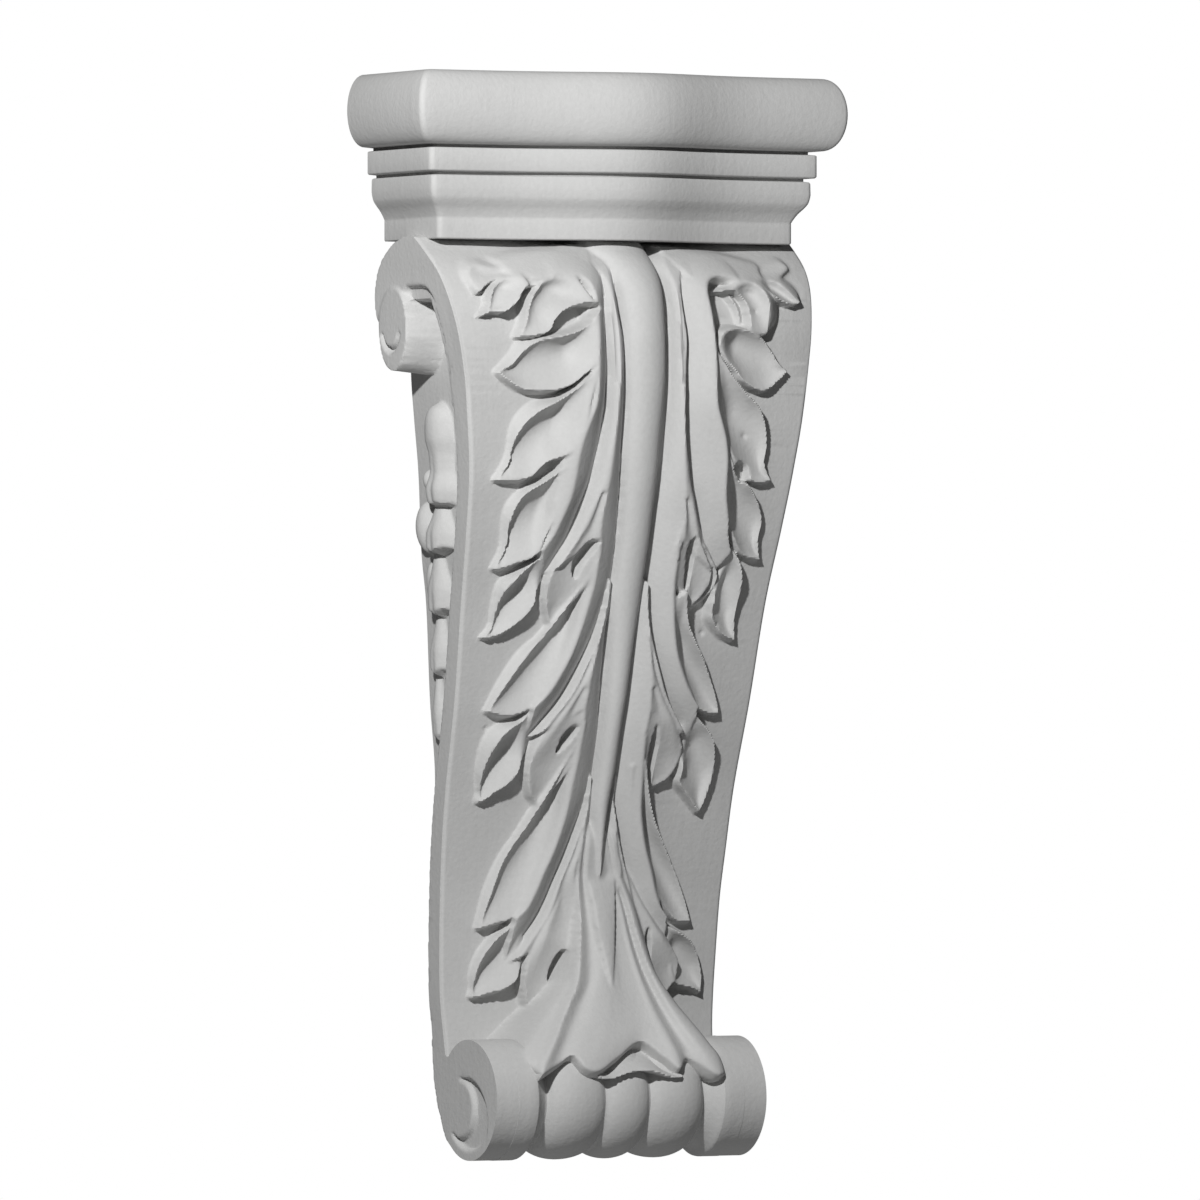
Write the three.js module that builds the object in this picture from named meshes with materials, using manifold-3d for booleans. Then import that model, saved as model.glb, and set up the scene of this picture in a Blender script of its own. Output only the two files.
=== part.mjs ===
// A tall, narrow wall corbel with an acanthus leaf on its face, cast in one piece.
// Millimetres. +X is to the viewer's right, -Y is out of the wall towards the viewer, +Z is up.
// The origin lies on the flat back, half way up it and on its centre line.
import * as THREE from 'three';
import { mergeVertices } from 'three/addons/utils/BufferGeometryUtils.js';
import Module from 'manifold-3d';

const wasm = await Module();
wasm.setup();

// ---- driving dimensions -------------------------------------------------------------
const HEIGHT = 254;                 // 10 in, over all
const WIDTH = 114.3;                // 4 1/2 in, across the rounded top moulding
const DEPTH = 44.45;                // 1 3/4 in, wall to the crest of the top moulding
const HALF_W = WIDTH / 2;
const MID = HEIGHT / 2;             // heights below are from the bottom, z = height - MID

const CAP_BOTTOM = 215;             // underside of the stepped cap
const CAP_BOW = 7.45;               // how far the bowed middle of the cap stands out
const CAP_BOW_SPREAD = 15;          // how wide that bow is
const CAP_CORNER = DEPTH - CAP_BOW; // depth of the cap at its corners
const TORUS_LOW = 236.9;            // the half-round at the top of the cap
const TORUS_SAG = 4.8;

const VOLUTE_W = 50.2;              // half width over the volutes under the cap
const BOSS = { d: 9.6, z: 194, rd: 7.4, rz: 10 };      // rolled end of the upper volute
const ROLL = { d: 20.6, z: 14.2, r: 14.2, w: 35.9, bevel: 2.1 };  // roll at the foot
const ROLL_FLUTE_OUT = 24.7;        // the plain ends of the roll start here
const FLUTE_OUT = 20.6, FLUTE_IN = 5.8;                // centres of the grooves between the flutes
const FLUTE_OUT_DEEP = 3.6, FLUTE_IN_DEEP = 2.2;

// the S-shaped face: [height, half width, depth from the wall]
const FACE = [
  [216, 50.2, 20.0], [212.9, 50.0, 24.6], [210.5, 49.9, 27.8], [207.4, 49.3, 31.2], [203.5, 48.8, 33.7],
  [198.8, 48.0, 35.6], [191.8, 46.9, 37.2], [182.5, 45.6, 37.6], [173.1, 44.6, 37.0],
  [161.4, 43.2, 35.3], [147.4, 42.0, 31.6], [131.1, 40.7, 26.6], [107.7, 39.5, 21.0],
  [84.3, 38.5, 14.2], [72.7, 38.1, 11.9], [61.0, 37.5, 10.0], [49.3, 37.1, 8.9],
  [37.6, 36.6, 8.3], [28.3, 36.0, 9.0], [23.2, 35.9, 10.0],
];
// the recessed side panel: [height, half width]
const PANEL = [[216, 40.6], [185, 40.3], [173, 39.4], [161, 38.3], [142, 37.5], [131, 36.3], [107, 35.2], [90, 33.9], [0, 33.5]];
const BAND = [[204, 8.4], [181, 8.1], [166, 7.5], [142, 6.8], [0, 6.8]];   // front to back of the side band

// ---- small helpers ------------------------------------------------------------------
const clamp = (v, a, b) => Math.min(b, Math.max(a, v));
function table(rows, h, col) {
  if (h >= rows[0][0]) return rows[0][col];
  for (let i = 1; i < rows.length; i++) {
    if (h >= rows[i][0]) {
      const t = (h - rows[i][0]) / (rows[i - 1][0] - rows[i][0]);
      return rows[i][col] + t * (rows[i - 1][col] - rows[i][col]);
    }
  }
  return rows[rows.length - 1][col];
}
const faceW = (h) => table(FACE, h, 1);
const faceD = (h) => table(FACE, h, 2);
const panelW = (h) => table(PANEL, h, 1);
const bandT = (h) => table(BAND, h, 1);
const at = (x, d, h) => [x, -d, h - MID];      // width, depth from the wall, height from the bottom

function lerp(a, b, t) { return a.map((v, i) => v + (b[i] - v) * t); }
function spline(points, t) {                    // smooth curve through a few points, t from 0 to 1
  const n = points.length - 1, s = clamp(t, 0, 1) * n, i = Math.min(n - 1, Math.floor(s)), f = s - i;
  const p1 = points[i], p2 = points[i + 1];
  const p0 = points[i - 1] || lerp(p2, p1, 2), p3 = points[i + 2] || lerp(p1, p2, 2);
  return p1.map((_, k) => 0.5 * (2 * p1[k] + (p2[k] - p0[k]) * f
    + (2 * p0[k] - 5 * p1[k] + 4 * p2[k] - p3[k]) * f * f
    + (3 * p1[k] - p0[k] - 3 * p2[k] + p3[k]) * f * f * f));
}

function solid(verts, tris) {                   // closed triangle mesh to a solid, faces made to point out
  let six = 0;
  for (const [a, b, c] of tris) {
    const A = verts[a], B = verts[b], C = verts[c];
    six += A[0] * (B[1] * C[2] - B[2] * C[1]) - A[1] * (B[0] * C[2] - B[2] * C[0]) + A[2] * (B[0] * C[1] - B[1] * C[0]);
  }
  const g = new THREE.BufferGeometry();
  g.setAttribute('position', new THREE.Float32BufferAttribute(verts.flat(), 3));
  g.setIndex((six < 0 ? tris.map(([a, b, c]) => [a, c, b]) : tris).flat());
  const m = mergeVertices(g, 1e-4);
  const idx = [];
  const src = m.index.array;
  for (let i = 0; i < src.length; i += 3) {
    if (src[i] !== src[i + 1] && src[i + 1] !== src[i + 2] && src[i] !== src[i + 2]) idx.push(src[i], src[i + 1], src[i + 2]);
  }
  return new wasm.Manifold(new wasm.Mesh({
    numProp: 3, vertProperties: new Float32Array(m.attributes.position.array), triVerts: new Uint32Array(idx),
  }));
}

function loft(rings) {                          // closed rings of equal length, ends closed flat
  const n = rings[0].length, verts = rings.flat(), tris = [];
  for (let r = 0; r + 1 < rings.length; r++) {
    for (let i = 0; i < n; i++) {
      const a = r * n + i, b = r * n + (i + 1) % n;
      tris.push([a, b, b + n], [a, b + n, a + n]);
    }
  }
  const end = (r, flip) => {
    const ring = rings[r], c = new THREE.Vector3();
    for (let i = 0; i < n; i++) {               // the ring's own plane
      const p = ring[i], q = ring[(i + 1) % n];
      c.x += (p[1] - q[1]) * (p[2] + q[2]); c.y += (p[2] - q[2]) * (p[0] + q[0]); c.z += (p[0] - q[0]) * (p[1] + q[1]);
    }
    c.normalize();
    const u = new THREE.Vector3(Math.abs(c.x) > 0.9 ? 0 : 1, Math.abs(c.x) > 0.9 ? 1 : 0, 0).cross(c).normalize();
    const v = c.clone().cross(u);
    const flat = ring.map((p) => { const q = new THREE.Vector3(...p); return new THREE.Vector2(q.dot(u), q.dot(v)); });
    for (const [i, j, k] of THREE.ShapeUtils.triangulateShape(flat, [])) {
      tris.push(flip ? [r * n + i, r * n + k, r * n + j] : [r * n + i, r * n + j, r * n + k]);
    }
  };
  end(0, true);
  end(rings.length - 1, false);
  return solid(verts, tris);
}

// an outline in (depth, height), carried across from one side to the other; its half width varies
function across(outline, halfWidth) {
  const side = (s) => outline.map(([d, h]) => at(s * halfWidth(d, h), d, h));
  return loft([side(-1), side(1)]);
}

// ---- the cap ------------------------------------------------------------------------
function capOutline(inset, h) {
  const w = HALF_W - inset, ring = [at(-w, 0, h)], steps = 18;
  for (let i = 0; i <= steps; i++) {
    const u = -1 + 2 * i / steps, x = w * (0.62 * u + 0.38 * u * u * u);
    ring.push(at(x, CAP_CORNER - inset + CAP_BOW * Math.exp(-x * x / (2 * CAP_BOW_SPREAD ** 2)), h));
  }
  ring.push(at(w, 0, h));
  return ring;
}
function cap() {
  const profile = [[CAP_BOTTOM, 9.85], [220, 9.85], [220.9, 9.2], [222.6, 8.4], [223.7, 7.4], [224.6, 6.8],
    [226.2, 6.5], [229.7, 6.6], [229.9, 8.6], [230.6, 8.6], [230.7, 5.4], [236.0, 5.4], [236.1, 7.4], [236.8, 7.4]];
  const half = (HEIGHT - TORUS_LOW) / 2, mid = (HEIGHT + TORUS_LOW) / 2;
  for (const a of [-90, -64, -33, 0, 33, 64, 90]) {
    const t = a * Math.PI / 180;
    profile.push([mid + half * Math.sin(t), TORUS_SAG * (1 - Math.cos(t))]);
  }
  return loft(profile.map(([h, inset]) => capOutline(inset, h)));
}

// ---- the body: recessed core, side bands that end in volutes, the roll at the foot ---
function core() {
  const front = [];
  for (const [h] of FACE) if (h < 214) front.push([faceD(h) - 1.2, h]);
  return across([[0, 216], [16, 216], ...front, [ROLL.d, ROLL.z], [9.5, 5.4], [4.4, 9.6], [0, 13.5]], (d, h) => panelW(h));
}
function bands() {
  const front = FACE.map(([h, , d]) => [d, h]);
  const back = [];
  for (const h of [37.6, 49.3, 61, 72.7, 84.3, 107.7, 131.1, 147.4, 161.4, 173.1, 182.5, 191.8, 198.8]) back.push([faceD(h) - bandT(h), h]);
  const foot = [[14, 16], [13.5, 2.4], [8.2, 6.6], [4.6, 12], [2.6, 18.5], [1.6, 28.3]];
  const turn = [[25.2, 202], [22.6, 203.6], [14.9, 204], [BOSS.d + 1, BOSS.z + 4], [BOSS.d - 2, BOSS.z - 6.5], [3.4, 189.6], [1.7, 193.2], [0.5, 197], [0, 201]];
  const top = [[0.15, 204.2], [0.9, 207], [2.2, 209.2], [4.1, 211.3], [6.8, 213.2], [10, 214.9], [13, 216]];
  return across([...front, ...foot, ...back, ...turn, ...top], (d, h) => {
    const k = clamp((h - 186) / 12, 0, 1) * (1 - clamp(d / 33, 0, 1));
    return faceW(h) + k * (VOLUTE_W - faceW(h));
  });
}
function boss() {
  const n = 24, ring = [];
  for (let i = 0; i < n; i++) {
    const a = 2 * Math.PI * i / n;
    ring.push([Math.max(0, BOSS.d + BOSS.rd * Math.cos(a)), BOSS.z + BOSS.rz * Math.sin(a)]);
  }
  return across(ring, () => VOLUTE_W);
}
function rollRadius(x) {
  const a = Math.abs(x);
  if (a > ROLL.w - ROLL.bevel) {
    const t = (a - (ROLL.w - ROLL.bevel)) / ROLL.bevel;
    return ROLL.r - ROLL.bevel * (1 - Math.sqrt(Math.max(0, 1 - t * t)));
  }
  if (a > ROLL_FLUTE_OUT) return ROLL.r;
  if (a > FLUTE_OUT) return ROLL.r - FLUTE_OUT_DEEP * Math.pow((ROLL_FLUTE_OUT - a) / (ROLL_FLUTE_OUT - FLUTE_OUT), 0.8);
  if (a > FLUTE_IN) {
    const c = (FLUTE_OUT + FLUTE_IN) / 2, half = (FLUTE_OUT - FLUTE_IN) / 2, u = (a - c) / half;
    return ROLL.r - (u > 0 ? FLUTE_OUT_DEEP : FLUTE_IN_DEEP) * (1 - Math.sqrt(Math.max(0, 1 - u * u)));
  }
  return ROLL.r - FLUTE_IN_DEEP * (1 - Math.sqrt(Math.max(0, 1 - (a / FLUTE_IN) ** 2)));
}
function roll() {
  const half = [ROLL.w, ROLL.w - 0.35, ROLL.w - ROLL.bevel, ROLL_FLUTE_OUT, FLUTE_OUT, 19.6, 17.6, 13.2, 9.0, 6.8, FLUTE_IN, 4.9, 2.9];
  const xs = [...half.map((x) => -x), 0, ...half.slice().reverse()];
  const n = 24;
  return loft(xs.map((x) => {
    const r = rollRadius(x), ring = [];
    for (let i = 0; i < n; i++) {
      const a = 2 * Math.PI * i / n;
      ring.push(at(x, ROLL.d + r * Math.cos(a), ROLL.z + r * Math.sin(a)));
    }
    return ring;
  }));
}

// ---- the leaf -----------------------------------------------------------------------
// Each lobe is a scooped blade. outer: its upper outer edge from root to tip; inner: its lower
// edge from root to tip (half width, height from the bottom, on the viewer's left);
// ridge, bowl, lip: how far the crest, the scoop and the lower edge stand above the face;
// right: how far the tip of the lobe on the other side is moved (outwards, up).
const LOBES = {
  crown:  { outer: [[10.8, 211.3], [27.6, 209.4], [38.6, 207.8], [42.0, 209.3]], inner: [[12.6, 208.8], [28.9, 207.4], [37.2, 205.0], [41.5, 201.8]], tip: [45.1, 204.1], ridge: 4.0, bowl: 2.6, lip: 4.2, right: [0.5, 3.5] },
  beak:   { outer: [[30.7, 206.8], [37.2, 204.4], [39.6, 200.7], [40.7, 197.6]], inner: [[29.3, 204.5], [32.6, 201.4], [36.3, 197.9], [40.1, 197.5]], tip: [42.6, 196.4], ridge: 5.2, bowl: 3.0, lip: 4.8, right: [0.0, 3.0] },
  cup:    { outer: [[16.7, 206.3], [25.1, 205.2], [29.8, 200.3], [31.2, 195.3]], inner: [[13.1, 199.5], [20.1, 198.8], [24.4, 194.9], [29.8, 192.1]], tip: [33.4, 191.9], ridge: 6.8, bowl: 2.8, lip: 4.8, right: [0.0, 0.5] },
  lobe1:  { outer: [[13.6, 197.7], [21.3, 192.5], [29.8, 190.1], [34.9, 185.2]], inner: [[13.5, 186.2], [19.8, 181.1], [28.8, 179.3], [36.5, 182.2]], tip: [38.4, 183.9], ridge: 5.4, bowl: 3.0, lip: 4.8, right: [0.3, -0.2] },
  lobe2:  { outer: [[13.6, 185.8], [22.6, 177.8], [31.3, 171.6], [34.1, 162.7]], inner: [[17.1, 168.3], [24.6, 163.2], [31.0, 158.8], [35.6, 158.7]], tip: [37.3, 158.7], ridge: 5.2, bowl: 2.8, lip: 4.8, right: [0.0, 0.0] },
  lobe3:  { outer: [[16.9, 167.8], [23.6, 159.7], [31.4, 152.5], [32.2, 142.8]], inner: [[24.2, 142.1], [27.2, 140.1], [30.6, 139.0], [33.1, 138.1]], tip: [34.7, 138.1], ridge: 4.8, bowl: 2.6, lip: 4.0, right: [-0.5, 2.0] },
  lobe4:  { outer: [[22.2, 141.8], [28.1, 136.9], [32.3, 130.4], [33.3, 123.8]], inner: [[20.9, 135.6], [23.4, 130.4], [27.5, 125.1], [32.3, 122.5]], tip: [35.3, 122.0], ridge: 4.6, bowl: 2.4, lip: 4.4, right: [-0.8, -0.2] },
  nib4:   { outer: [[17.0, 139.8], [20.0, 135.2], [20.8, 131.2], [19.9, 127.5]], inner: [[13.7, 136.1], [15.0, 131.7], [16.9, 128.1], [18.0, 126.0]], tip: [18.5, 125.1], ridge: 3.8, bowl: 2.6, lip: 3.4, right: [0.5, 2.6] },
  blade5: { outer: [[8.4, 142.1], [13.6, 131.3], [21.6, 120.1], [28.6, 110.2]], inner: [[8.5, 140.3], [11.9, 120.2], [18.7, 108.0], [26.6, 103.8]], tip: [32.0, 104.8], ridge: 5.0, bowl: 2.6, lip: 4.8, right: [-0.3, -0.3] },
  lobe6:  { outer: [[20.7, 105.2], [26.9, 99.9], [30.5, 92.1], [30.6, 85.3]], inner: [[19.5, 95.6], [22.1, 90.9], [26.1, 86.6], [29.2, 84.4]], tip: [30.9, 83.5], ridge: 4.6, bowl: 2.4, lip: 4.4, right: [-1.0, -1.4] },
  nib6:   { outer: [[15.0, 99.4], [18.2, 94.3], [19.5, 89.8], [18.2, 85.3]], inner: [[12.6, 94.7], [12.8, 89.9], [14.0, 86.0], [14.9, 83.6]], tip: [15.6, 82.5], ridge: 3.8, bowl: 2.6, lip: 3.4, right: [0.4, 4.2] },
  blade7: { outer: [[6.8, 101.0], [12.5, 88.1], [20.1, 75.0], [25.6, 61.8]], inner: [[7.4, 99.4], [9.5, 78.9], [16.6, 60.4], [24.7, 55.0]], tip: [28.4, 53.9], ridge: 5.0, bowl: 2.6, lip: 4.8, right: [-0.2, 1.6] },
  lobe8:  { outer: [[16.7, 58.1], [23.8, 52.0], [28.2, 45.0], [29.2, 39.5]], inner: [[15.5, 47.3], [18.4, 42.3], [23.6, 39.2], [27.6, 38.2]], tip: [29.9, 37.8], ridge: 4.4, bowl: 2.4, lip: 4.2, right: [0.2, 1.4] },
  nib8:   { outer: [[10.0, 51.2], [14.2, 46.0], [16.2, 40.4], [15.5, 34.9]], inner: [[5.9, 46.0], [8.3, 40.3], [10.7, 36.2], [12.8, 33.2]], tip: [14.1, 32.0], ridge: 4.4, bowl: 3.4, lip: 4.6, right: [1.0, 5.4] },
};
function lobe(side, p, steps) {
  const tip = side > 0 ? [p.tip[0] + p.right[0], p.tip[1] + p.right[1]] : p.tip;
  const outer = [...p.outer, tip], inner = [...p.inner, tip], rings = [];
  for (let i = 0; i <= steps; i++) {
    const t = 0.97 * i / steps, o = spline(outer, t), q = spline(inner, t), fall = 1 - 0.42 * t * t;
    const pt = (s, up) => { const [x, h] = lerp(o, q, s); return at(side * x, faceD(h) + up, h); };
    rings.push([pt(0, -1.6), pt(0.12, p.ridge * fall), pt(0.5, p.bowl * fall), pt(0.96, p.lip * fall), pt(1, -1.6)]);
  }
  return loft(rings);
}

// Straps run down beside the stem: [half width, height, breadth, rise above the face]
const STRAPS = {
  upper: [[19, 209.6, 4, 4.2], [13.4, 208.9, 4.6, 5.6], [11.1, 204.5, 4.2, 6.0], [11.2, 197, 4.2, 6.0], [11.5, 187, 4.3, 6.0], [11.9, 177, 4.6, 6.0], [13.4, 169, 6, 5.8], [15.1, 161, 6.2, 5.6], [16.8, 153, 5.6, 5.2], [20.6, 142, 4, 4.4]],
  inner: [[8.6, 213.6, 2.4, 4.2], [5.8, 209.6, 2.5, 4.4], [6.3, 200, 2.5, 4.6], [5.8, 187, 2.8, 4.8], [6.1, 173, 3.6, 4.8], [6.3, 160, 4.8, 4.8], [6.2, 148, 6.4, 4.8], [6.1, 137, 6.6, 4.8], [7.5, 126, 6.4, 4.8], [10.6, 116.6, 5.6, 4.6], [14.6, 109.2, 5, 4.4], [20.4, 102, 3.4, 3.6]],
  lower: [[3.3, 135.6, 1.6, 3.2], [3.7, 124, 3.2, 4.0], [4.3, 113, 5, 4.6], [4.4, 102, 6.2, 4.6], [4.6, 90, 6.4, 4.6], [6.2, 79.6, 5.8, 4.6], [9.6, 69, 5.2, 4.4], [13.8, 59, 4.6, 4.0], [19.6, 51.6, 3.2, 3.2]],
  last:  [[1.6, 94, 1.6, 2.8], [1.9, 84, 2.2, 3.4], [2.4, 75, 3.8, 3.6], [2.3, 67, 4.6, 3.8], [1.0, 58, 4.0, 3.0]],
};
function strap(side, rows, steps) {
  const rings = [];
  for (let i = 0; i <= steps; i++) {
    const t = i / steps, [x, h, b, up] = spline(rows, t), [x2, h2] = spline(rows, Math.min(1, t + 0.02)), [x1, h1] = spline(rows, Math.max(0, t - 0.02));
    const len = Math.hypot(x2 - x1, h2 - h1), nx = (h2 - h1) / len, nh = -(x2 - x1) / len;   // across the strap
    const pt = (s, rise) => { const hh = h + nh * s * b / 2; return at(side * (x + nx * s * b / 2), faceD(hh) + rise, hh); };
    rings.push([pt(-1, -1.6), pt(-0.85, up * 0.8), pt(-0.3, up), pt(0.45, up * 0.85), pt(1, -1.6)]);
  }
  return loft(rings);
}

// The round stem: [height, half width, rise above the face]
const STEM = [[216, 5.4, 9.0], [212, 5.9, 8.6], [207, 6.2, 6.8], [199, 6.3, 4.8], [187, 6.1, 4.2], [160, 5.1, 3.9], [131, 4.8, 4.6], [108, 3.4, 4.4], [84, 2.6, 4.6], [66, 1.5, 4.6], [64.2, 0.7, 3.4]];
function stem() {
  const rings = [];
  for (const [h, w, up] of STEM) {
    const ring = [];
    for (let i = 0; i <= 8; i++) {
      const a = Math.PI * i / 8;
      ring.push(at(-w * Math.cos(a), faceD(h) + up * Math.sin(a) - (i % 8 ? 0 : 1.5), h));
    }
    rings.push(ring);
  }
  return loft(rings);
}

// The calyx: the leaf's foot, which sweeps out over the roll. Its path in (depth, height):
const SWEEP = [[14.6, 66], [15.8, 58.5], [17.6, 51], [20.2, 44], [23.4, 38], [27.3, 32.4], [31.3, 27.8], [34.2, 23.6], [35.9, 19.6]];
// across it: [side position at the top, side position at the foot, rise, share of the path]
const FOLDS = [
  [-9.4, -25.6, -4.0, 0.99], [-8.6, -24.4, 0.3, 1.0], [-7.2, -19.4, -0.9, 0.955], [-5.4, -14.4, -1.4, 0.91],
  [-4.6, -12.4, 0.1, 0.955], [-3.2, -9.2, 0.5, 0.985], [-1.4, -4.6, 0.0, 0.965], [0.4, -0.2, -0.1, 0.90], [2.2, 4.6, -0.1, 0.87],
  [4.6, 8.4, 0.1, 0.905], [5.8, 11.0, 0.3, 0.97], [6.8, 13.4, -0.2, 0.965], [7.4, 15.2, -1.3, 0.93], [8.4, 19.0, 0.3, 0.965],
  [9.4, 23.4, 0.2, 1.0], [10.2, 25.0, -4.0, 0.99],
];
function calyx() {
  const rows = 8, rings = [];
  for (let r = 0; r <= rows; r++) {
    const t = r / rows, outside = [], inside = [];
    for (const [x0, x1, rise, share] of FOLDS) {
      const s = t * share, [d, h] = spline(SWEEP, s), [d2, h2] = spline(SWEEP, Math.min(1, s + 0.02)), [d1, h1] = spline(SWEEP, s - 0.02);
      const len = Math.hypot(d2 - d1, h2 - h1), nd = -(h2 - h1) / len, nh = (d2 - d1) / len;
      const x = x0 + (x1 - x0) * Math.pow(s, 1.9) + 1.9 * Math.sin(Math.PI * s);
      const up = rise * (0.35 + 0.65 * s);
      outside.push(at(x, d + nd * up, h + nh * up));
      const deep = up - (s < 0.55 ? 7.5 : 7.5 - 10.5 * (s - 0.55)) ;
      inside.push(at(x, Math.max(4, d + nd * deep), h + nh * deep));
    }
    rings.push([...outside, ...inside.reverse()]);
  }
  return loft(rings);
}
// the narrow blade that continues the stem on the calyx
function tongue() {
  const rows = [[66, 1.2, 3.4, 0.6], [58, 1.9, 3.2, 1.0], [50, 2.6, 2.4, 1.0], [44, 3.0, 1.2, 0.9], [40.5, 3.2, 0.25, 0.4]];
  return loft(rows.map(([h, x, w, up]) => {
    let s = 0;
    for (let k = 0; k < 40; k++) s = spline(SWEEP, s)[1] > h ? s + 1 / 80 : s;
    const d = spline(SWEEP, s)[0];
    return [at(x - w, d - 3, h), at(x - w * 0.6, d + up, h), at(x + w, d + up * 0.9, h), at(x + w, d - 3, h)];
  }));
}

// ---- the bellflower drop in each side panel ------------------------------------------
// husks from the top: [height of its top, height of its lip, depth of its middle, half breadth, rise off the panel]
const HUSKS = [
  [182, 153.2, 13.2, 6.2, 4.6], [154.5, 141.4, 12.4, 5.6, 4.4], [142.5, 127.0, 9.6, 4.8, 3.8], [128.4, 113.0, 7.6, 3.6, 3.0], [114.4, 97.6, 5.4, 2.5, 2.2],
];
function husk(side, [top, lip, d, half, rise], first) {
  const rings = [];
  const shape = first ? [[0, 0.12], [0.14, 0.52], [0.34, 0.62], [0.52, 0.42], [0.66, 0.55], [0.86, 0.95], [1, 0.8]] : [[0, 0.3], [0.3, 0.62], [0.66, 0.98], [0.88, 0.95], [1, 0.6]];
  for (const [t, k] of shape) {
    const h = top + (lip - top) * t, ring = [], n = 8, lean = first ? (1 - t) * 1.4 : 0;
    for (let i = 0; i <= n; i++) {
      const a = Math.PI * i / n;
      ring.push(at(side * (panelW(h) + (i % n ? rise * k * Math.sin(a) : -1.5)), d + lean + half * k * Math.cos(a), h));
    }
    rings.push(ring);
  }
  return loft(rings);
}

// ---- one casting ---------------------------------------------------------------------
function corbel() {
  let body = core().add(bands()).add(boss()).add(roll()).add(cap());
  body = body.add(stem());
  for (const side of [-1, 1]) {
    for (const rows of [STRAPS.upper, STRAPS.inner, STRAPS.lower, STRAPS.last]) body = body.add(strap(side, rows, 9));
    for (const name of Object.keys(LOBES)) body = body.add(lobe(side, LOBES[name], name.startsWith('blade') ? 6 : 5));
    HUSKS.forEach((row, i) => { body = body.add(husk(side, row, i === 0)); });
  }
  return body.add(calyx()).add(tongue());
}

// The outer skin alone: small pockets closed in between overlapping shapes are cast solid.
function toGeometry(manifold) {
  const mesh = manifold.getMesh(), n = mesh.numProp, count = mesh.vertProperties.length / n, tri = mesh.triVerts;
  const root = Array.from({ length: count }, (_, i) => i);
  const find = (i) => { while (root[i] !== i) { root[i] = root[root[i]]; i = root[i]; } return i; };
  for (let t = 0; t < tri.length; t += 3) { root[find(tri[t])] = find(tri[t + 1]); root[find(tri[t + 1])] = find(tri[t + 2]); }
  const size = new Map();
  for (let t = 0; t < tri.length; t += 3) size.set(find(tri[t]), (size.get(find(tri[t])) || 0) + 1);
  const skin = [...size.entries()].sort((a, b) => b[1] - a[1])[0][0];
  const seat = new Map(), pos = [], index = [];
  for (let t = 0; t < tri.length; t++) {
    const v = tri[t];
    if (find(v) !== skin) continue;
    if (!seat.has(v)) { seat.set(v, pos.length / 3); for (let k = 0; k < 3; k++) pos.push(mesh.vertProperties[v * n + k]); }
    index.push(seat.get(v));
  }
  const g = new THREE.BufferGeometry();
  g.setAttribute('position', new THREE.Float32BufferAttribute(pos, 3));
  g.setIndex(index);
  g.computeVertexNormals();
  return g;
}

const group = new THREE.Group();
group.name = 'acanthus_corbel';
const casting = new THREE.Mesh(
  toGeometry(corbel()),
  new THREE.MeshStandardMaterial({ color: 0xb9b9b8, roughness: 0.78, metalness: 0 }),
);
casting.name = 'corbel';
group.add(casting);

export default group;
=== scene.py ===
import math

import bpy
import numpy as np
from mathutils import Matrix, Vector
from mathutils.bvhtree import BVHTree


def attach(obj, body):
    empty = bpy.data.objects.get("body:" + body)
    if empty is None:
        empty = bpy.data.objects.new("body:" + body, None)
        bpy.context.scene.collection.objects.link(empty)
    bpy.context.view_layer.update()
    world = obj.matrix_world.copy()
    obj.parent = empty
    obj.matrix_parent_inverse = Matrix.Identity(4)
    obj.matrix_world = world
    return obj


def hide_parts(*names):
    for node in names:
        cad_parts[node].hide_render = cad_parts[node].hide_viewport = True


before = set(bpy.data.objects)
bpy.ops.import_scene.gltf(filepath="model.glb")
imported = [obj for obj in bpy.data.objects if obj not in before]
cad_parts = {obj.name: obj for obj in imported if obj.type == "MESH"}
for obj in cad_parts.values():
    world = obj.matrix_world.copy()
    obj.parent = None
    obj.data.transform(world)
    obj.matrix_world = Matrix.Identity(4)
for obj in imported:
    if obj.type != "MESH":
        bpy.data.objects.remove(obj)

MM = 0.001
MID = 127.0          # heights below are from the bottom, in mm; the origin is half way up the back

# ---- sizes (mm), the same as the construction's ------------------------------------------
HALF_W, DEPTH, CAP_BOTTOM = 57.15, 44.45, 215.0
CAP_BOW, CAP_SPREAD, TORUS_LOW, TORUS_SAG = 7.45, 15.0, 236.9, 4.8
CAP_CORNER = DEPTH - CAP_BOW
VOLUTE_W = 50.2
BOSS = dict(d=9.6, z=194.0, rd=7.4, rz=10.0)
ROLL = dict(d=20.6, z=14.2, r=14.2, w=35.9, bevel=2.1)
RAMP_OUT, FLUTE_OUT, FLUTE_IN, DEEP_OUT, DEEP_IN = 24.7, 20.6, 5.8, 4.0, 3.0

FACE = np.array([
    [216, 50.2, 20.0], [212.9, 50.0, 24.6], [210.5, 49.9, 27.8], [207.4, 49.3, 31.2], [203.5, 48.8, 33.7],
    [198.8, 48.0, 35.6], [191.8, 46.9, 37.2], [182.5, 45.6, 37.6], [173.1, 44.6, 37.0],
    [161.4, 43.2, 35.3], [147.4, 42.0, 31.6], [131.1, 40.7, 26.6], [107.7, 39.5, 21.0],
    [84.3, 38.5, 14.2], [72.7, 38.1, 11.9], [61.0, 37.5, 10.0], [49.3, 37.1, 8.9],
    [37.6, 36.6, 8.3], [28.3, 36.0, 9.0], [23.2, 35.9, 10.0], [10.0, 35.9, 12.0], [-4.0, 35.9, 12.0],
])
PANEL = np.array([[216, 40.6], [185, 40.3], [173, 39.4], [161, 38.3], [142, 37.5], [131, 36.3], [107, 35.2], [90, 33.9], [40, 33.5], [-4, 33.3]])
BAND = np.array([[216, 8.4], [204, 8.4], [181, 8.1], [166, 7.5], [142, 6.8], [-4, 6.8]])


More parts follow.
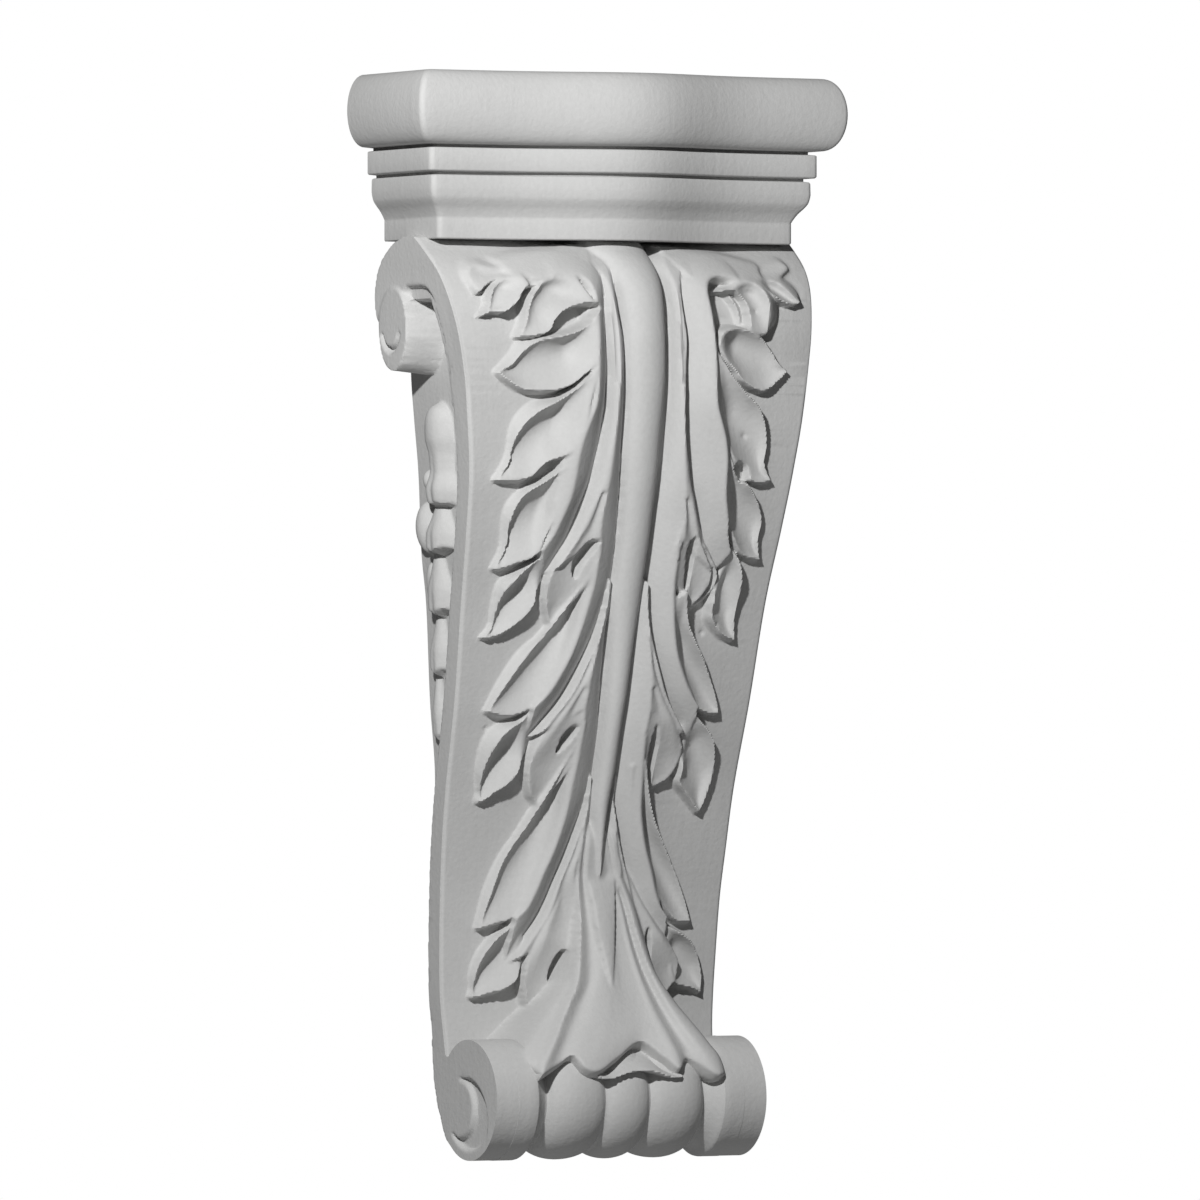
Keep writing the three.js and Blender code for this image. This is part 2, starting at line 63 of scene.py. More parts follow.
def pchip(xs, ys):
    """A smooth curve through the points that doesn't overshoot."""
    order = np.argsort(xs)
    x, y = np.asarray(xs, float)[order], np.asarray(ys, float)[order]
    h = np.diff(x)
    s = np.diff(y) / h
    m = np.zeros_like(y)
    m[0], m[-1] = s[0], s[-1]
    for i in range(1, len(y) - 1):
        if s[i - 1] * s[i] > 0:
            w1, w2 = 2 * h[i] + h[i - 1], h[i] + 2 * h[i - 1]
            m[i] = (w1 + w2) / (w1 / s[i - 1] + w2 / s[i])

    def f(q):
        q = np.clip(np.asarray(q, float), x[0], x[-1])
        i = np.clip(np.searchsorted(x, q, side="right") - 1, 0, len(x) - 2)
        t = (q - x[i]) / h[i]
        return ((1 + 2 * t) * (1 - t) ** 2 * y[i] + t * (1 - t) ** 2 * h[i] * m[i]
                + t * t * (3 - 2 * t) * y[i + 1] + t * t * (t - 1) * h[i] * m[i + 1])
    return f


def soft_table(rows, col):
    """The table as a smooth curve of height."""
    q = np.arange(rows[-1, 0], rows[0, 0] + 0.01, 0.5)
    v = pchip(rows[:, 0], rows[:, col])(q)
    k = np.exp(-0.5 * (np.arange(-8, 9) / 3.2) ** 2)
    k /= k.sum()
    vs = np.convolve(np.pad(v, 8, mode="reflect", reflect_type="odd"), k, "valid")
    return lambda h: np.interp(np.asarray(h, float), q, vs)


face_w, face_d, panel_w, band_t = soft_table(FACE, 1), soft_table(FACE, 2), soft_table(PANEL, 1), soft_table(BAND, 1)


def spline(points, t):
    """Catmull-Rom through a few points; t is an array from 0 to 1."""
    p = np.asarray(points, float)
    p = np.vstack([2 * p[0] - p[1], p, 2 * p[-1] - p[-2]])
    n = len(points) - 1
    s = np.clip(np.asarray(t, float), 0, 1) * n
    i = np.minimum(n - 1, np.floor(s).astype(int))
    f = (s - i)[..., None]
    a, b, c, d = p[i], p[i + 1], p[i + 2], p[i + 3]
    return 0.5 * (2 * b + (c - a) * f + (2 * a - 5 * b + 4 * c - d) * f * f + (3 * b - a - 3 * c + d) * f ** 3)


# ---- meshes -----------------------------------------------------------------------------
def to_row(x, d, h):
    return np.stack([np.asarray(x, float), -np.asarray(d, float), np.asarray(h, float) - MID], -1)


def grid_faces(rows, cols, start=0, wrap=False):
    r, c = np.meshgrid(np.arange(rows - 1), np.arange(cols if wrap else cols - 1), indexing="ij")
    a = (r * cols + c).ravel() + start
    b = (r * cols + (c + 1) % cols).ravel() + start
    return np.stack([a, b, b + cols, a + cols], -1)


def make_object(name, verts, faces):
    """verts in mm in the row frame; faces a list of index lists. Normals are made to point out."""
    me = bpy.data.meshes.new(name)
    me.from_pydata([tuple(v) for v in (np.asarray(verts, float) * MM)], [], [tuple(int(i) for i in f) for f in faces])
    me.validate()
    ob = bpy.data.objects.new(name, me)
    bpy.context.scene.collection.objects.link(ob)
    co = np.empty(len(me.vertices) * 3)
    me.vertices.foreach_get("co", co)
    co = co.reshape(-1, 3)
    me.calc_loop_triangles()
    tri = np.empty(len(me.loop_triangles) * 3, np.int32)
    me.loop_triangles.foreach_get("vertices", tri)
    t = co[tri.reshape(-1, 3)]
    if np.einsum("ij,ij->i", t[:, 0], np.cross(t[:, 1], t[:, 2])).sum() < 0:
        me.flip_normals()
    return ob


def loft(name, rings):
    rings = np.asarray(rings, float)
    n, m = rings.shape[:2]
    faces = [list(f) for f in grid_faces(n, m, wrap=True)]
    faces.append(list(range(m - 1, -1, -1)))
    faces.append(list(range((n - 1) * m, n * m)))
    return make_object(name, rings.reshape(-1, 3), faces)


def slab(name, top, bottom):
    """A closed solid between two grids of points of the same shape."""
    n, m = top.shape[:2]
    faces = [list(f) for f in grid_faces(n, m)]
    faces += [list(f[::-1]) for f in grid_faces(n, m, start=n * m)]
    edge = [(0, j) for j in range(m)] + [(i, m - 1) for i in range(1, n)] + [(n - 1, j) for j in range(m - 2, -1, -1)] + [(i, 0) for i in range(n - 2, 0, -1)]
    ids = [i * m + j for i, j in edge]
    for a, b in zip(ids, ids[1:] + ids[:1]):
        faces.append([b, a, a + n * m, b + n * m])
    return make_object(name, np.vstack([top.reshape(-1, 3), bottom.reshape(-1, 3)]), faces)


def settle(ob):
    """Applies the object's modifiers."""
    dg = bpy.context.evaluated_depsgraph_get()
    me = bpy.data.meshes.new_from_object(ob.evaluated_get(dg))
    ob.modifiers.clear()
    old, ob.data = ob.data, me
    bpy.data.meshes.remove(old)
    return ob


def boolean(a, b, operation):
    m = a.modifiers.new("join", "BOOLEAN")
    m.operation, m.solver, m.object = operation, "MANIFOLD", b
    settle(a)
    bpy.data.objects.remove(b)
    return a


def decimate(ob, faces):
    ob.data.calc_loop_triangles()
    have = len(ob.data.loop_triangles)
    if have > faces:
        m = ob.modifiers.new("thin", "DECIMATE")
        m.ratio = faces / have
        m.use_collapse_triangulate = True
        settle(ob)
    return ob


def blur(a, sigma):
    r = int(math.ceil(3 * sigma))
    k = np.exp(-0.5 * (np.arange(-r, r + 1) / sigma) ** 2)
    k /= k.sum()
    for axis in (0, 1):
        pad = [(0, 0), (0, 0)]
        pad[axis] = (r, r)
        p = np.pad(a, pad, mode="edge")
        out = np.zeros_like(a)
        for i, w in enumerate(k):
            out += w * (p[i:i + a.shape[0], :] if axis == 0 else p[:, i:i + a.shape[1]])
        a = out
    return a


def sample(img, u, v):
    """Bilinear look-up of img at row u, column v."""
    u, v = np.clip(u, 0, img.shape[0] - 1.001), np.clip(v, 0, img.shape[1] - 1.001)
    i, j = u.astype(int), v.astype(int)
    f, g = u - i, v - j
    return (img[i, j] * (1 - f) * (1 - g) + img[i + 1, j] * f * (1 - g) + img[i, j + 1] * (1 - f) * g + img[i + 1, j + 1] * f * g)


def noise2(shape, cell, seed):
    """Smooth random field, about -1 to 1, with features about cell samples wide."""
    rng = np.random.default_rng(seed)
    n, m = int(shape[0] / cell) + 4, int(shape[1] / cell) + 4
    g = rng.uniform(-1, 1, (n, m))
    u, v = np.meshgrid(np.arange(shape[0]) / cell + 1, np.arange(shape[1]) / cell + 1, indexing="ij")
    i, j = u.astype(int), v.astype(int)
    f, h = u - i, v - j
    f, h = f * f * (3 - 2 * f), h * h * (3 - 2 * h)
    return g[i, j] * (1 - f) * (1 - h) + g[i + 1, j] * f * (1 - h) + g[i, j + 1] * (1 - f) * h + g[i + 1, j + 1] * f * h


# ---- the leaf ---------------------------------------------------------------------------
LOBES = dict(
    crown=dict(foot=[[13.7, 213.3], [22.6, 212.4], [30.2, 209.9], [35.1, 209.6], [38.5, 210.5], [42.3, 209.0]], crest=[[15.3, 211.2], [24.7, 209.4], [32.7, 207.8], [37.4, 207.9], [40.4, 208.7], [43.4, 207.0]],
        lip=[[17.4, 208.3], [26.9, 206.9], [34.3, 206.0], [37.8, 204.9], [39.8, 203.7], [41.4, 202.5]], tip=[42.1, 201.9], r=[4.4, 3.8, 2.8], l=[4.8, 4.2, 3.2], b=3.2, rt=2.6),
    beak=dict(foot=[[27.7, 207.8], [32.8, 206.0], [36.5, 203.8], [39.0, 201.0], [40.5, 198.6]], crest=[[30.7, 206.8], [35.5, 205.4], [38.5, 203.2], [39.7, 200.4], [40.4, 198.0]],
        lip=[[29.3, 204.5], [31.6, 202.6], [33.6, 200.2], [36.6, 197.8], [39.5, 197.7]], tip=[42.6, 196.4], r=[5.6, 5.2, 4.4], l=[6.4, 6.2, 5.0], b=4.2, rt=4.2),
    cup=dict(foot=[[12.7, 208.5], [20.9, 206.2], [26.3, 204.2], [29.1, 201.8], [30.2, 198.8], [31.8, 194.8]], crest=[[16.7, 206.3], [21.6, 206.0], [25.9, 204.8], [28.9, 201.9], [30.5, 198.6], [31.1, 195.4]],
        lip=[[13.1, 199.5], [16.8, 199.7], [20.8, 198.5], [23.5, 196.4], [25.5, 193.3], [29.6, 192.1]], tip=[33.4, 191.9], r=[6.8, 6.8, 5.0], l=[6.6, 5.6, 4.4], b=4.4, rt=3.2),
    lobe1=dict(foot=[[10.6, 199.0], [14.7, 196.2], [18.9, 194.2], [24.4, 192.8], [31.6, 191.7], [34.3, 188.4]], crest=[[13.6, 197.7], [17.5, 193.9], [22.3, 192.2], [27.8, 191.2], [31.6, 188.6], [34.8, 185.3]],
        lip=[[13.5, 186.2], [16.5, 183.6], [20.7, 180.6], [25.9, 179.4], [31.9, 179.7], [36.4, 182.1]], tip=[38.4, 183.9], r=[6.4, 5.4, 3.0], l=[6.2, 5.0, 3.4], b=2.2, rt=2.7),
    lobe2=dict(foot=[[11.2, 184.0], [17.5, 181.0], [21.7, 178.4], [28.5, 176.9], [33.1, 172.7], [34.5, 164.5]], crest=[[13.6, 185.8], [18.6, 180.6], [23.6, 177.1], [29.2, 173.8], [32.9, 168.9], [34.0, 162.9]],
        lip=[[17.1, 168.3], [20.2, 164.8], [25.6, 162.7], [28.9, 159.4], [33.2, 158.6], [35.5, 158.7]], tip=[37.3, 158.7], r=[6.2, 5.2, 3.0], l=[6.0, 4.8, 3.2], b=2.0, rt=2.7),
    lobe3=dict(foot=[[13.8, 167.0], [17.1, 164.2], [22.5, 160.0], [29.4, 156.9], [33.3, 152.3], [33.0, 143.7]], crest=[[16.9, 167.8], [20.0, 162.7], [24.6, 159.0], [30.1, 155.0], [32.0, 149.4], [32.1, 143.0]],
        lip=[[24.2, 142.1], [25.7, 140.7], [27.6, 140.0], [29.7, 139.3], [31.5, 138.6], [33.0, 138.1]], tip=[34.7, 138.1], r=[5.8, 4.8, 2.8], l=[4.6, 4.0, 3.0], b=1.9, rt=2.7),
    lobe4=dict(foot=[[21.5, 141.2], [24.2, 139.8], [28.3, 137.7], [32.0, 135.6], [32.9, 129.7], [33.1, 125.1]], crest=[[22.2, 141.8], [25.1, 139.7], [28.8, 136.2], [31.7, 132.5], [32.6, 128.1], [33.2, 123.9]],
        lip=[[20.9, 135.6], [22.7, 133.2], [23.7, 129.7], [26.1, 126.5], [29.2, 123.9], [32.2, 122.5]], tip=[35.3, 122.0], r=[2.6, 4.6, 2.8], l=[0.6, 4.4, 3.2], b=1.9, rt=2.7),
    nib4=dict(foot=[[16.2, 139.8], [18.4, 136.8], [19.6, 134.2], [20.1, 131.4], [19.8, 128.6]], crest=[[17.0, 139.8], [19.1, 136.7], [20.6, 133.7], [20.8, 130.9], [20.2, 128.1]],
        lip=[[13.7, 136.1], [14.4, 133.3], [15.6, 130.2], [17.0, 127.9], [17.9, 126.3]], tip=[18.5, 125.1], r=[4.2, 3.8, 2.6], l=[4.2, 3.4, 2.8], b=2.4, rt=2.2),
    blade5=dict(foot=[[6.5, 143.8], [9.8, 137.7], [13.4, 130.9], [17.9, 124.2], [24.4, 119.3], [28.8, 112.5]], crest=[[8.4, 142.1], [10.4, 136.3], [14.5, 130.0], [19.1, 123.5], [24.3, 116.5], [28.4, 110.4]],
        lip=[[8.5, 140.3], [9.5, 130.0], [12.6, 118.1], [16.8, 110.8], [21.0, 105.7], [26.4, 103.8]], tip=[32.0, 104.8], r=[4.8, 5.0, 3.0], l=[5.0, 5.2, 3.4], b=2.2, rt=2.8),
    lobe6=dict(foot=[[19.8, 104.8], [22.5, 103.1], [28.1, 102.0], [31.1, 98.7], [31.9, 92.4], [30.8, 87.0]], crest=[[20.7, 105.2], [23.5, 102.4], [27.6, 99.2], [29.9, 94.7], [30.8, 89.4], [30.6, 85.4]],
        lip=[[19.5, 95.6], [21.1, 93.5], [22.4, 90.3], [24.8, 87.5], [27.4, 85.8], [29.1, 84.4]], tip=[30.9, 83.5], r=[2.6, 4.6, 2.8], l=[0.6, 4.4, 3.2], b=1.9, rt=2.8),
    nib6=dict(foot=[[14.2, 99.4], [16.6, 95.8], [18.3, 93.5], [19.1, 90.0], [18.5, 86.5]], crest=[[15.0, 99.4], [17.2, 95.9], [19.0, 92.8], [19.5, 89.5], [18.7, 86.0]],
        lip=[[12.6, 94.7], [12.5, 91.6], [13.3, 88.3], [14.1, 85.8], [14.7, 83.9]], tip=[15.6, 82.5], r=[4.2, 3.8, 2.6], l=[4.2, 3.4, 2.8], b=2.4, rt=2.2),
    blade7=dict(foot=[[4.9, 102.9], [8.2, 95.1], [12.1, 86.4], [16.6, 78.9], [22.0, 72.9], [26.3, 64.2]], crest=[[6.8, 101.0], [9.3, 94.7], [13.3, 86.5], [17.6, 79.0], [22.7, 70.6], [25.5, 62.1]],
        lip=[[7.4, 99.4], [8.0, 88.1], [10.1, 76.6], [13.9, 64.9], [19.6, 56.9], [24.5, 55.1]], tip=[28.4, 53.9], r=[4.8, 5.0, 3.0], l=[5.0, 5.0, 3.4], b=2.1, rt=2.8),
    lobe8=dict(foot=[[15.8, 57.5], [19.4, 54.7], [23.8, 52.4], [27.3, 48.9], [29.3, 43.8], [28.9, 39.6]], crest=[[16.7, 58.1], [20.6, 54.4], [24.5, 51.3], [27.4, 47.2], [28.8, 42.7], [29.2, 39.6]],
        lip=[[15.5, 47.3], [17.1, 44.9], [18.8, 41.7], [22.1, 39.6], [25.1, 38.9], [27.5, 38.2]], tip=[29.9, 37.8], r=[2.6, 4.4, 2.8], l=[0.6, 4.2, 3.2], b=1.9, rt=2.8),
    nib8=dict(foot=[[9.0, 51.1], [12.4, 47.6], [14.9, 44.1], [16.2, 39.9], [15.6, 35.7]], crest=[[10.0, 51.2], [12.9, 47.7], [15.3, 44.2], [16.2, 40.0], [15.7, 35.7]],
        lip=[[5.9, 46.0], [7.8, 41.8], [8.9, 39.0], [10.9, 35.9], [12.5, 33.6]], tip=[14.1, 32.0], r=[4.6, 4.0, 2.8], l=[5.2, 4.6, 3.2], b=2.6, rt=2.6),
)
RIM1 = dict(crest=[[23.5, 206.6], [21.0, 207.2], [17.4, 207.2], [14.8, 206.0], [13.3, 203.6], [13.0, 201.2], [13.1, 198.8], [13.4, 192.5], [13.7, 186.2], [13.8, 180.9], [14.3, 176.2], [15.9, 171.6], [17.1, 168.1], [18.0, 163.4], [18.3, 159.2], [18.9, 154.6], [20.3, 150.2], [21.8, 146.0], [24.2, 142.1]],
    foot=[[22.0, 211.0], [18.5, 212.2], [14.0, 212.2], [10.4, 210.4], [8.9, 206.8], [8.9, 202.8], [9.4, 199.0], [9.6, 192.6], [9.3, 186.4], [9.4, 181.0], [9.5, 176.3], [10.0, 171.7], [10.4, 168.2], [11.3, 163.5], [12.1, 158.9], [13.5, 154.2], [14.9, 149.6], [16.7, 144.2], [21.0, 136.7]])
RIM2 = dict(crest=[[9.2, 214.0], [6.7, 209.9], [7.2, 204.4], [7.5, 198.9], [7.2, 192.6], [7.1, 186.3], [7.4, 181.0], [7.7, 175.1], [8.1, 169.3], [8.4, 163.5], [8.7, 158.9], [9.1, 154.2], [9.5, 149.6], [9.4, 144.9], [9.1, 139.8], [9.2, 134.4], [10.0, 129.1], [11.3, 123.2], [13.0, 117.9], [15.2, 112.9], [17.8, 108.7], [21.1, 105.7]],
    foot=[[7.6, 214.0], [4.4, 210.0], [5.0, 204.5], [5.2, 199.1], [4.6, 192.7], [4.4, 186.4], [4.4, 181.1], [4.3, 175.2], [4.3, 169.4], [4.2, 163.6], [3.9, 158.9], [3.5, 154.3], [3.2, 149.6], [2.9, 145.0], [2.7, 139.8], [2.8, 134.5], [4.0, 129.1], [5.6, 123.2], [7.4, 118.6], [10.1, 112.9], [13.5, 106.9], [20.3, 98.2]])
RIM3 = dict(crest=[[3.9, 135.6], [4.2, 129.8], [4.9, 125.1], [5.4, 121.6], [6.2, 116.9], [6.9, 111.1], [7.5, 105.2], [7.4, 99.4], [7.5, 93.5], [8.0, 87.6], [8.5, 82.2], [9.6, 77.1], [11.2, 71.9], [13.2, 67.2], [15.1, 62.3], [17.1, 58.6], [19.9, 56.5]],
    foot=[[2.6, 135.6], [2.2, 129.8], [2.3, 125.1], [2.3, 121.6], [2.2, 116.9], [2.0, 111.1], [1.6, 105.2], [1.2, 99.3], [1.1, 93.4], [1.2, 87.6], [2.6, 82.2], [4.4, 77.0], [6.5, 71.1], [8.8, 65.2], [11.0, 59.8], [13.9, 54.7], [20.6, 45.6]])
RIM4 = dict(crest=[[2.2, 89.9], [2.3, 84.1], [2.9, 78.2], [3.8, 72.3], [5.1, 67.1], [3.8, 60.5], [2.9, 53.5]],
    foot=[[1.3, 89.9], [0.9, 84.0], [0.6, 78.1], [0.1, 72.2], [-0.5, 67.1], [-1.0, 60.5], [-1.3, 53.4]])
STEM = [[-11.5, 7.2, 216.5], [-9.9, 7.2, 213.0], [-7.4, 7.2, 210.0], [-6.2, 7.2, 206.2], [-4.9, 6.9, 201.0], [-4.7, 6.4, 193.9], [-4.6, 6.3, 186.9], [-4.2, 5.8, 177.6], [-4.2, 5.3, 168.3], [-3.2, 5.3, 154.3], [-2.5, 5.5, 142.6], [-2.5, 5.5, 133.3], [-1.7, 5.0, 121.6], [-1.2, 4.6, 109.9], [-0.9, 4.2, 100.5], [-0.9, 4.2, 92.3], [-1.1, 3.6, 84.0], [0.2, 2.7, 72.2], [1.6, 2.3, 63.7]]
SLITS = dict(left=[[[-24.5, 193.1], [-23.0, 196.2], [-19.9, 198.3], [-15.6, 199.7], [-12.1, 199.2], [-15.1, 196.5], [-19.5, 194.6]], [[-9.2, 144.5], [-11.1, 144.7], [-12.9, 143.0], [-14.3, 139.8], [-13.4, 136.1], [-12.1, 139.3], [-10.4, 141.9]], [[-8.3, 101.5], [-10.0, 101.0], [-11.8, 98.7], [-12.3, 95.1], [-10.8, 97.0], [-9.2, 99.1]], [[-5.7, 48.8], [-7.6, 48.3], [-9.4, 45.5], [-10.1, 41.8], [-8.5, 42.4], [-6.7, 46.0]]],
    right=[[[22.7, 203.2], [25.1, 203.0], [27.6, 200.9], [28.3, 197.1], [27.7, 194.8], [25.2, 196.6], [22.8, 199.9]], [[16.8, 145.8], [15.5, 143.9], [15.6, 139.9], [16.7, 133.3], [17.2, 136.9], [17.4, 140.4]], [[12.8, 101.7], [12.3, 96.9], [12.7, 92.2], [14.0, 87.5], [14.1, 92.2], [14.1, 96.9]], [[16.1, 54.0], [15.0, 49.7], [15.4, 45.7], [16.3, 43.3], [16.4, 47.4]], [[24.8, 161.9], [26.1, 163.1], [28.2, 162.9], [29.4, 161.5], [29.2, 159.2], [27.4, 158.9]]])
CALYX = [
    [[-3.1, 84.1, -6.0], [-3.5, 75.8, -4.4], [-2.5, 67.1, -3.5], [-3.6, 59.3, -3.59], [-5.1, 51.2, -3.68], [-9.2, 41.9, -3.76], [-14.9, 35.7, -3.85], [-20.2, 31.4, -3.94], [-25.1, 26.9, -4.03], [-27.4, 23.3, -4.11], [-24.0, 19.5, -4.2]],
    [[-2.8, 84.1, -6.0], [-3.0, 75.8, -1.1], [-3.8, 67.1, -0.2], [-4.0, 59.4, -0.4], [-5.1, 51.2, -0.6], [-7.8, 41.9, -0.9], [-12.8, 35.1, -1.2], [-17.5, 30.5, -1.4], [-22.3, 26.0, -1.6], [-24.7, 23.3, -1.3], [-25.1, 20.1, -1.0]],
    [[-2.5, 84.1, -6.0], [-2.7, 75.8, -0.9], [-3.7, 67.1, 0.2], [-3.9, 59.4, 0.4], [-4.9, 51.2, 0.6], [-7.6, 42.0, 0.7], [-12.1, 36.2, 0.8], [-16.0, 31.7, 0.8], [-20.4, 26.7, 0.8], [-23.2, 23.3, 0.7], [-24.8, 20.4, 0.6]],
    [[-2.0, 84.1, -6.0], [-2.2, 75.8, -1.7], [-2.1, 67.1, -0.8], [-1.8, 59.4, -0.65], [-1.9, 51.2, -0.78], [-3.8, 41.9, -0.88], [-7.6, 36.6, -0.98], [-11.1, 32.3, -0.98], [-15.3, 27.8, -0.98], [-17.9, 24.8, -0.81], [-19.5, 22.6, -0.65]],
    [[-1.5, 84.1, -6.0], [-1.6, 75.8, -0.9], [-1.7, 67.1, 0.0], [-0.7, 59.4, 0.0], [-0.1, 51.2, 0.0], [-0.8, 44.2, 0.1], [-4.2, 37.3, 0.2], [-7.8, 32.3, 0.3], [-12.1, 27.8, 0.4], [-14.2, 25.5, 0.3], [-15.2, 24.8, 0.2]],
    [[-0.7, 84.1, -6.0], [-0.6, 75.8, -0.9], [0.1, 67.1, 0.0], [1.2, 59.3, 0.0], [1.7, 51.2, 0.0], [0.7, 43.0, 0.3], [-1.7, 36.1, 0.6], [-5.4, 30.4, 0.75], [-9.1, 25.9, 0.9], [-12.1, 23.2, 0.85], [-13.2, 22.1, 0.8]],
    [[0.1, 84.1, -6.0], [1.0, 75.8, -0.9], [2.3, 67.1, 0.0], [3.3, 59.3, 0.0], [3.6, 51.1, 0.0], [2.9, 43.0, 0.15], [1.1, 36.1, 0.3], [-2.1, 30.4, 0.45], [-5.5, 25.8, 0.6], [-8.4, 22.7, 0.6], [-9.6, 21.1, 0.6]],
    [[0.7, 84.1, -6.0], [2.1, 75.8, -1.5], [3.7, 67.1, -0.6], [4.9, 59.3, -0.5], [5.2, 51.1, -0.4], [4.7, 43.0, -0.25], [3.7, 36.0, -0.1], [2.1, 31.4, -0.05], [-0.3, 28.0, 0.0], [-1.9, 25.8, -0.15], [-3.3, 24.0, -0.3]],
    [[1.2, 84.1, -6.0], [2.6, 75.8, -1.7], [4.6, 67.1, -0.8], [6.1, 59.3, -0.6], [6.5, 51.1, -0.4], [6.6, 44.1, -0.3], [6.8, 38.3, -0.2], [6.4, 34.4, -0.3], [5.8, 31.4, -0.4], [5.2, 29.3, -0.7], [4.6, 27.7, -1.0]],
    [[1.7, 84.0, -6.0], [3.2, 75.8, -1.7], [5.1, 67.0, -0.8], [6.8, 59.3, -0.55], [7.5, 51.1, -0.3], [8.2, 44.1, -0.15], [8.7, 37.1, 0.0], [8.8, 32.0, 0.0], [8.9, 28.8, 0.0], [9.1, 26.8, -0.15], [9.1, 24.2, -0.3]],
    [[2.0, 84.0, -6.0], [3.4, 75.8, -1.5], [5.6, 67.0, -0.6], [7.5, 59.3, -0.3], [8.4, 51.1, 0.0], [9.3, 44.1, 0.2], [10.3, 37.1, 0.4], [11.1, 31.3, 0.6], [11.6, 27.4, 0.8], [12.1, 24.4, 0.7], [12.1, 21.4, 0.6]],
    [[2.3, 84.0, -6.0], [4.0, 75.8, -2.1], [6.4, 67.0, -1.2], [8.8, 59.3, -1.3], [10.3, 51.0, -1.4], [11.5, 44.0, -1.4], [13.1, 37.5, -1.4], [14.3, 32.4, -1.4], [15.3, 28.3, -1.4], [15.9, 25.9, -1.3], [15.8, 23.7, -1.2]],
    [[2.8, 84.0, -6.0], [4.5, 75.8, -0.9], [6.6, 67.0, 0.0], [9.1, 59.3, 0.2], [10.6, 51.1, 0.4], [12.1, 44.1, 0.5], [14.1, 37.5, 0.6], [16.2, 32.0, 0.7], [18.0, 27.4, 0.8], [19.7, 24.1, 0.7], [21.2, 20.1, 0.6]],
    [[3.1, 84.0, -6.0], [5.3, 75.8, -1.5], [8.0, 67.0, -0.6], [10.8, 59.3, -0.5], [12.4, 51.0, -0.4], [14.0, 43.6, -0.35], [16.8, 37.0, -0.3], [19.6, 31.9, -0.25], [21.7, 27.3, -0.2], [23.4, 24.0, -0.2], [24.0, 19.9, -0.2]],
    [[3.3, 84.0, -6.0], [5.9, 75.8, -4.4], [10.1, 67.0, -3.5], [13.1, 59.2, -3.62], [14.8, 51.0, -3.75], [16.3, 43.0, -3.88], [19.3, 36.7, -4.0], [22.1, 31.5, -4.0], [24.2, 26.9, -4.0], [25.9, 23.7, -4.0], [26.5, 19.5, -4.0]],
]
RISE1 = [[6.4, 6.8, 6.6, 6.4, 6.4, 6.2, 6.0, 5.8, 4.6], [4.4, 4.6, 2.6, 1.2, 0.8, 0.8, 0.8, 0.8]]
RISE2 = [[4.6, 4.8, 5.0, 5.0, 5.2, 5.0, 4.8], [1.6, 0.8, 0.6, 0.6, 0.6, 0.6, 0.4]]
RISE3 = [[3.4, 4.4, 5.0, 5.0, 5.0, 4.6], [1.2, 0.6, 0.6, 0.6, 0.6, 0.3]]
RISE4 = [[3.0, 4.2, 4.6], [1.5, 1.2, 1.2]]
# how the right half differs: how far its inner ends and its tips stand from the left half's mirror image
RIGHT = dict(
    crown=[2.0, [-1.6, 2.0]], beak=[0.5, [1.0, 4.5]], cup=[2.6, [0.0, 1.0]], lobe1=[3.0, [0.7, 0.9]], lobe2=[3.0, [-1.1, 0.3]],
    lobe3=[3.0, [1.4, 2.4]], lobe4=[3.4, [-3.1, -0.4]], nib4=[3.6, [0.5, 3.8]], blade5=[3.3, [-1.7, -0.4]], lobe6=[2.4, [-2.4, -2.7]],
    nib6=[2.8, [-0.1, 4.3]], blade7=[2.2, [0.2, 1.1]], lobe8=[7.5, [2.0, 0.4]], nib8=[8.0, [6.6, 5.1]],
)

soup_v, soup_f = [], []


def add_sheet(points):
    """An open sheet, rows x cols x 3, in (x, depth, height): part of what the front is read off."""
    n, m = points.shape[:2]
    start = sum(len(v) for v in soup_v)
    soup_v.append(points.reshape(-1, 3))
    soup_f.append(grid_faces(n, m, start=start))


def ease(t):
    t = np.clip(t, 0, 1)
    return t * t * (3 - 2 * t)


def along(values, t, n=None):
    """A value given at even steps, as a smooth function of t."""
    return pchip(np.linspace(0, 1, len(values)), values)(t)


def place(side, x, h, up):
    return np.stack([side * x, face_d(h) + up, h], -1)


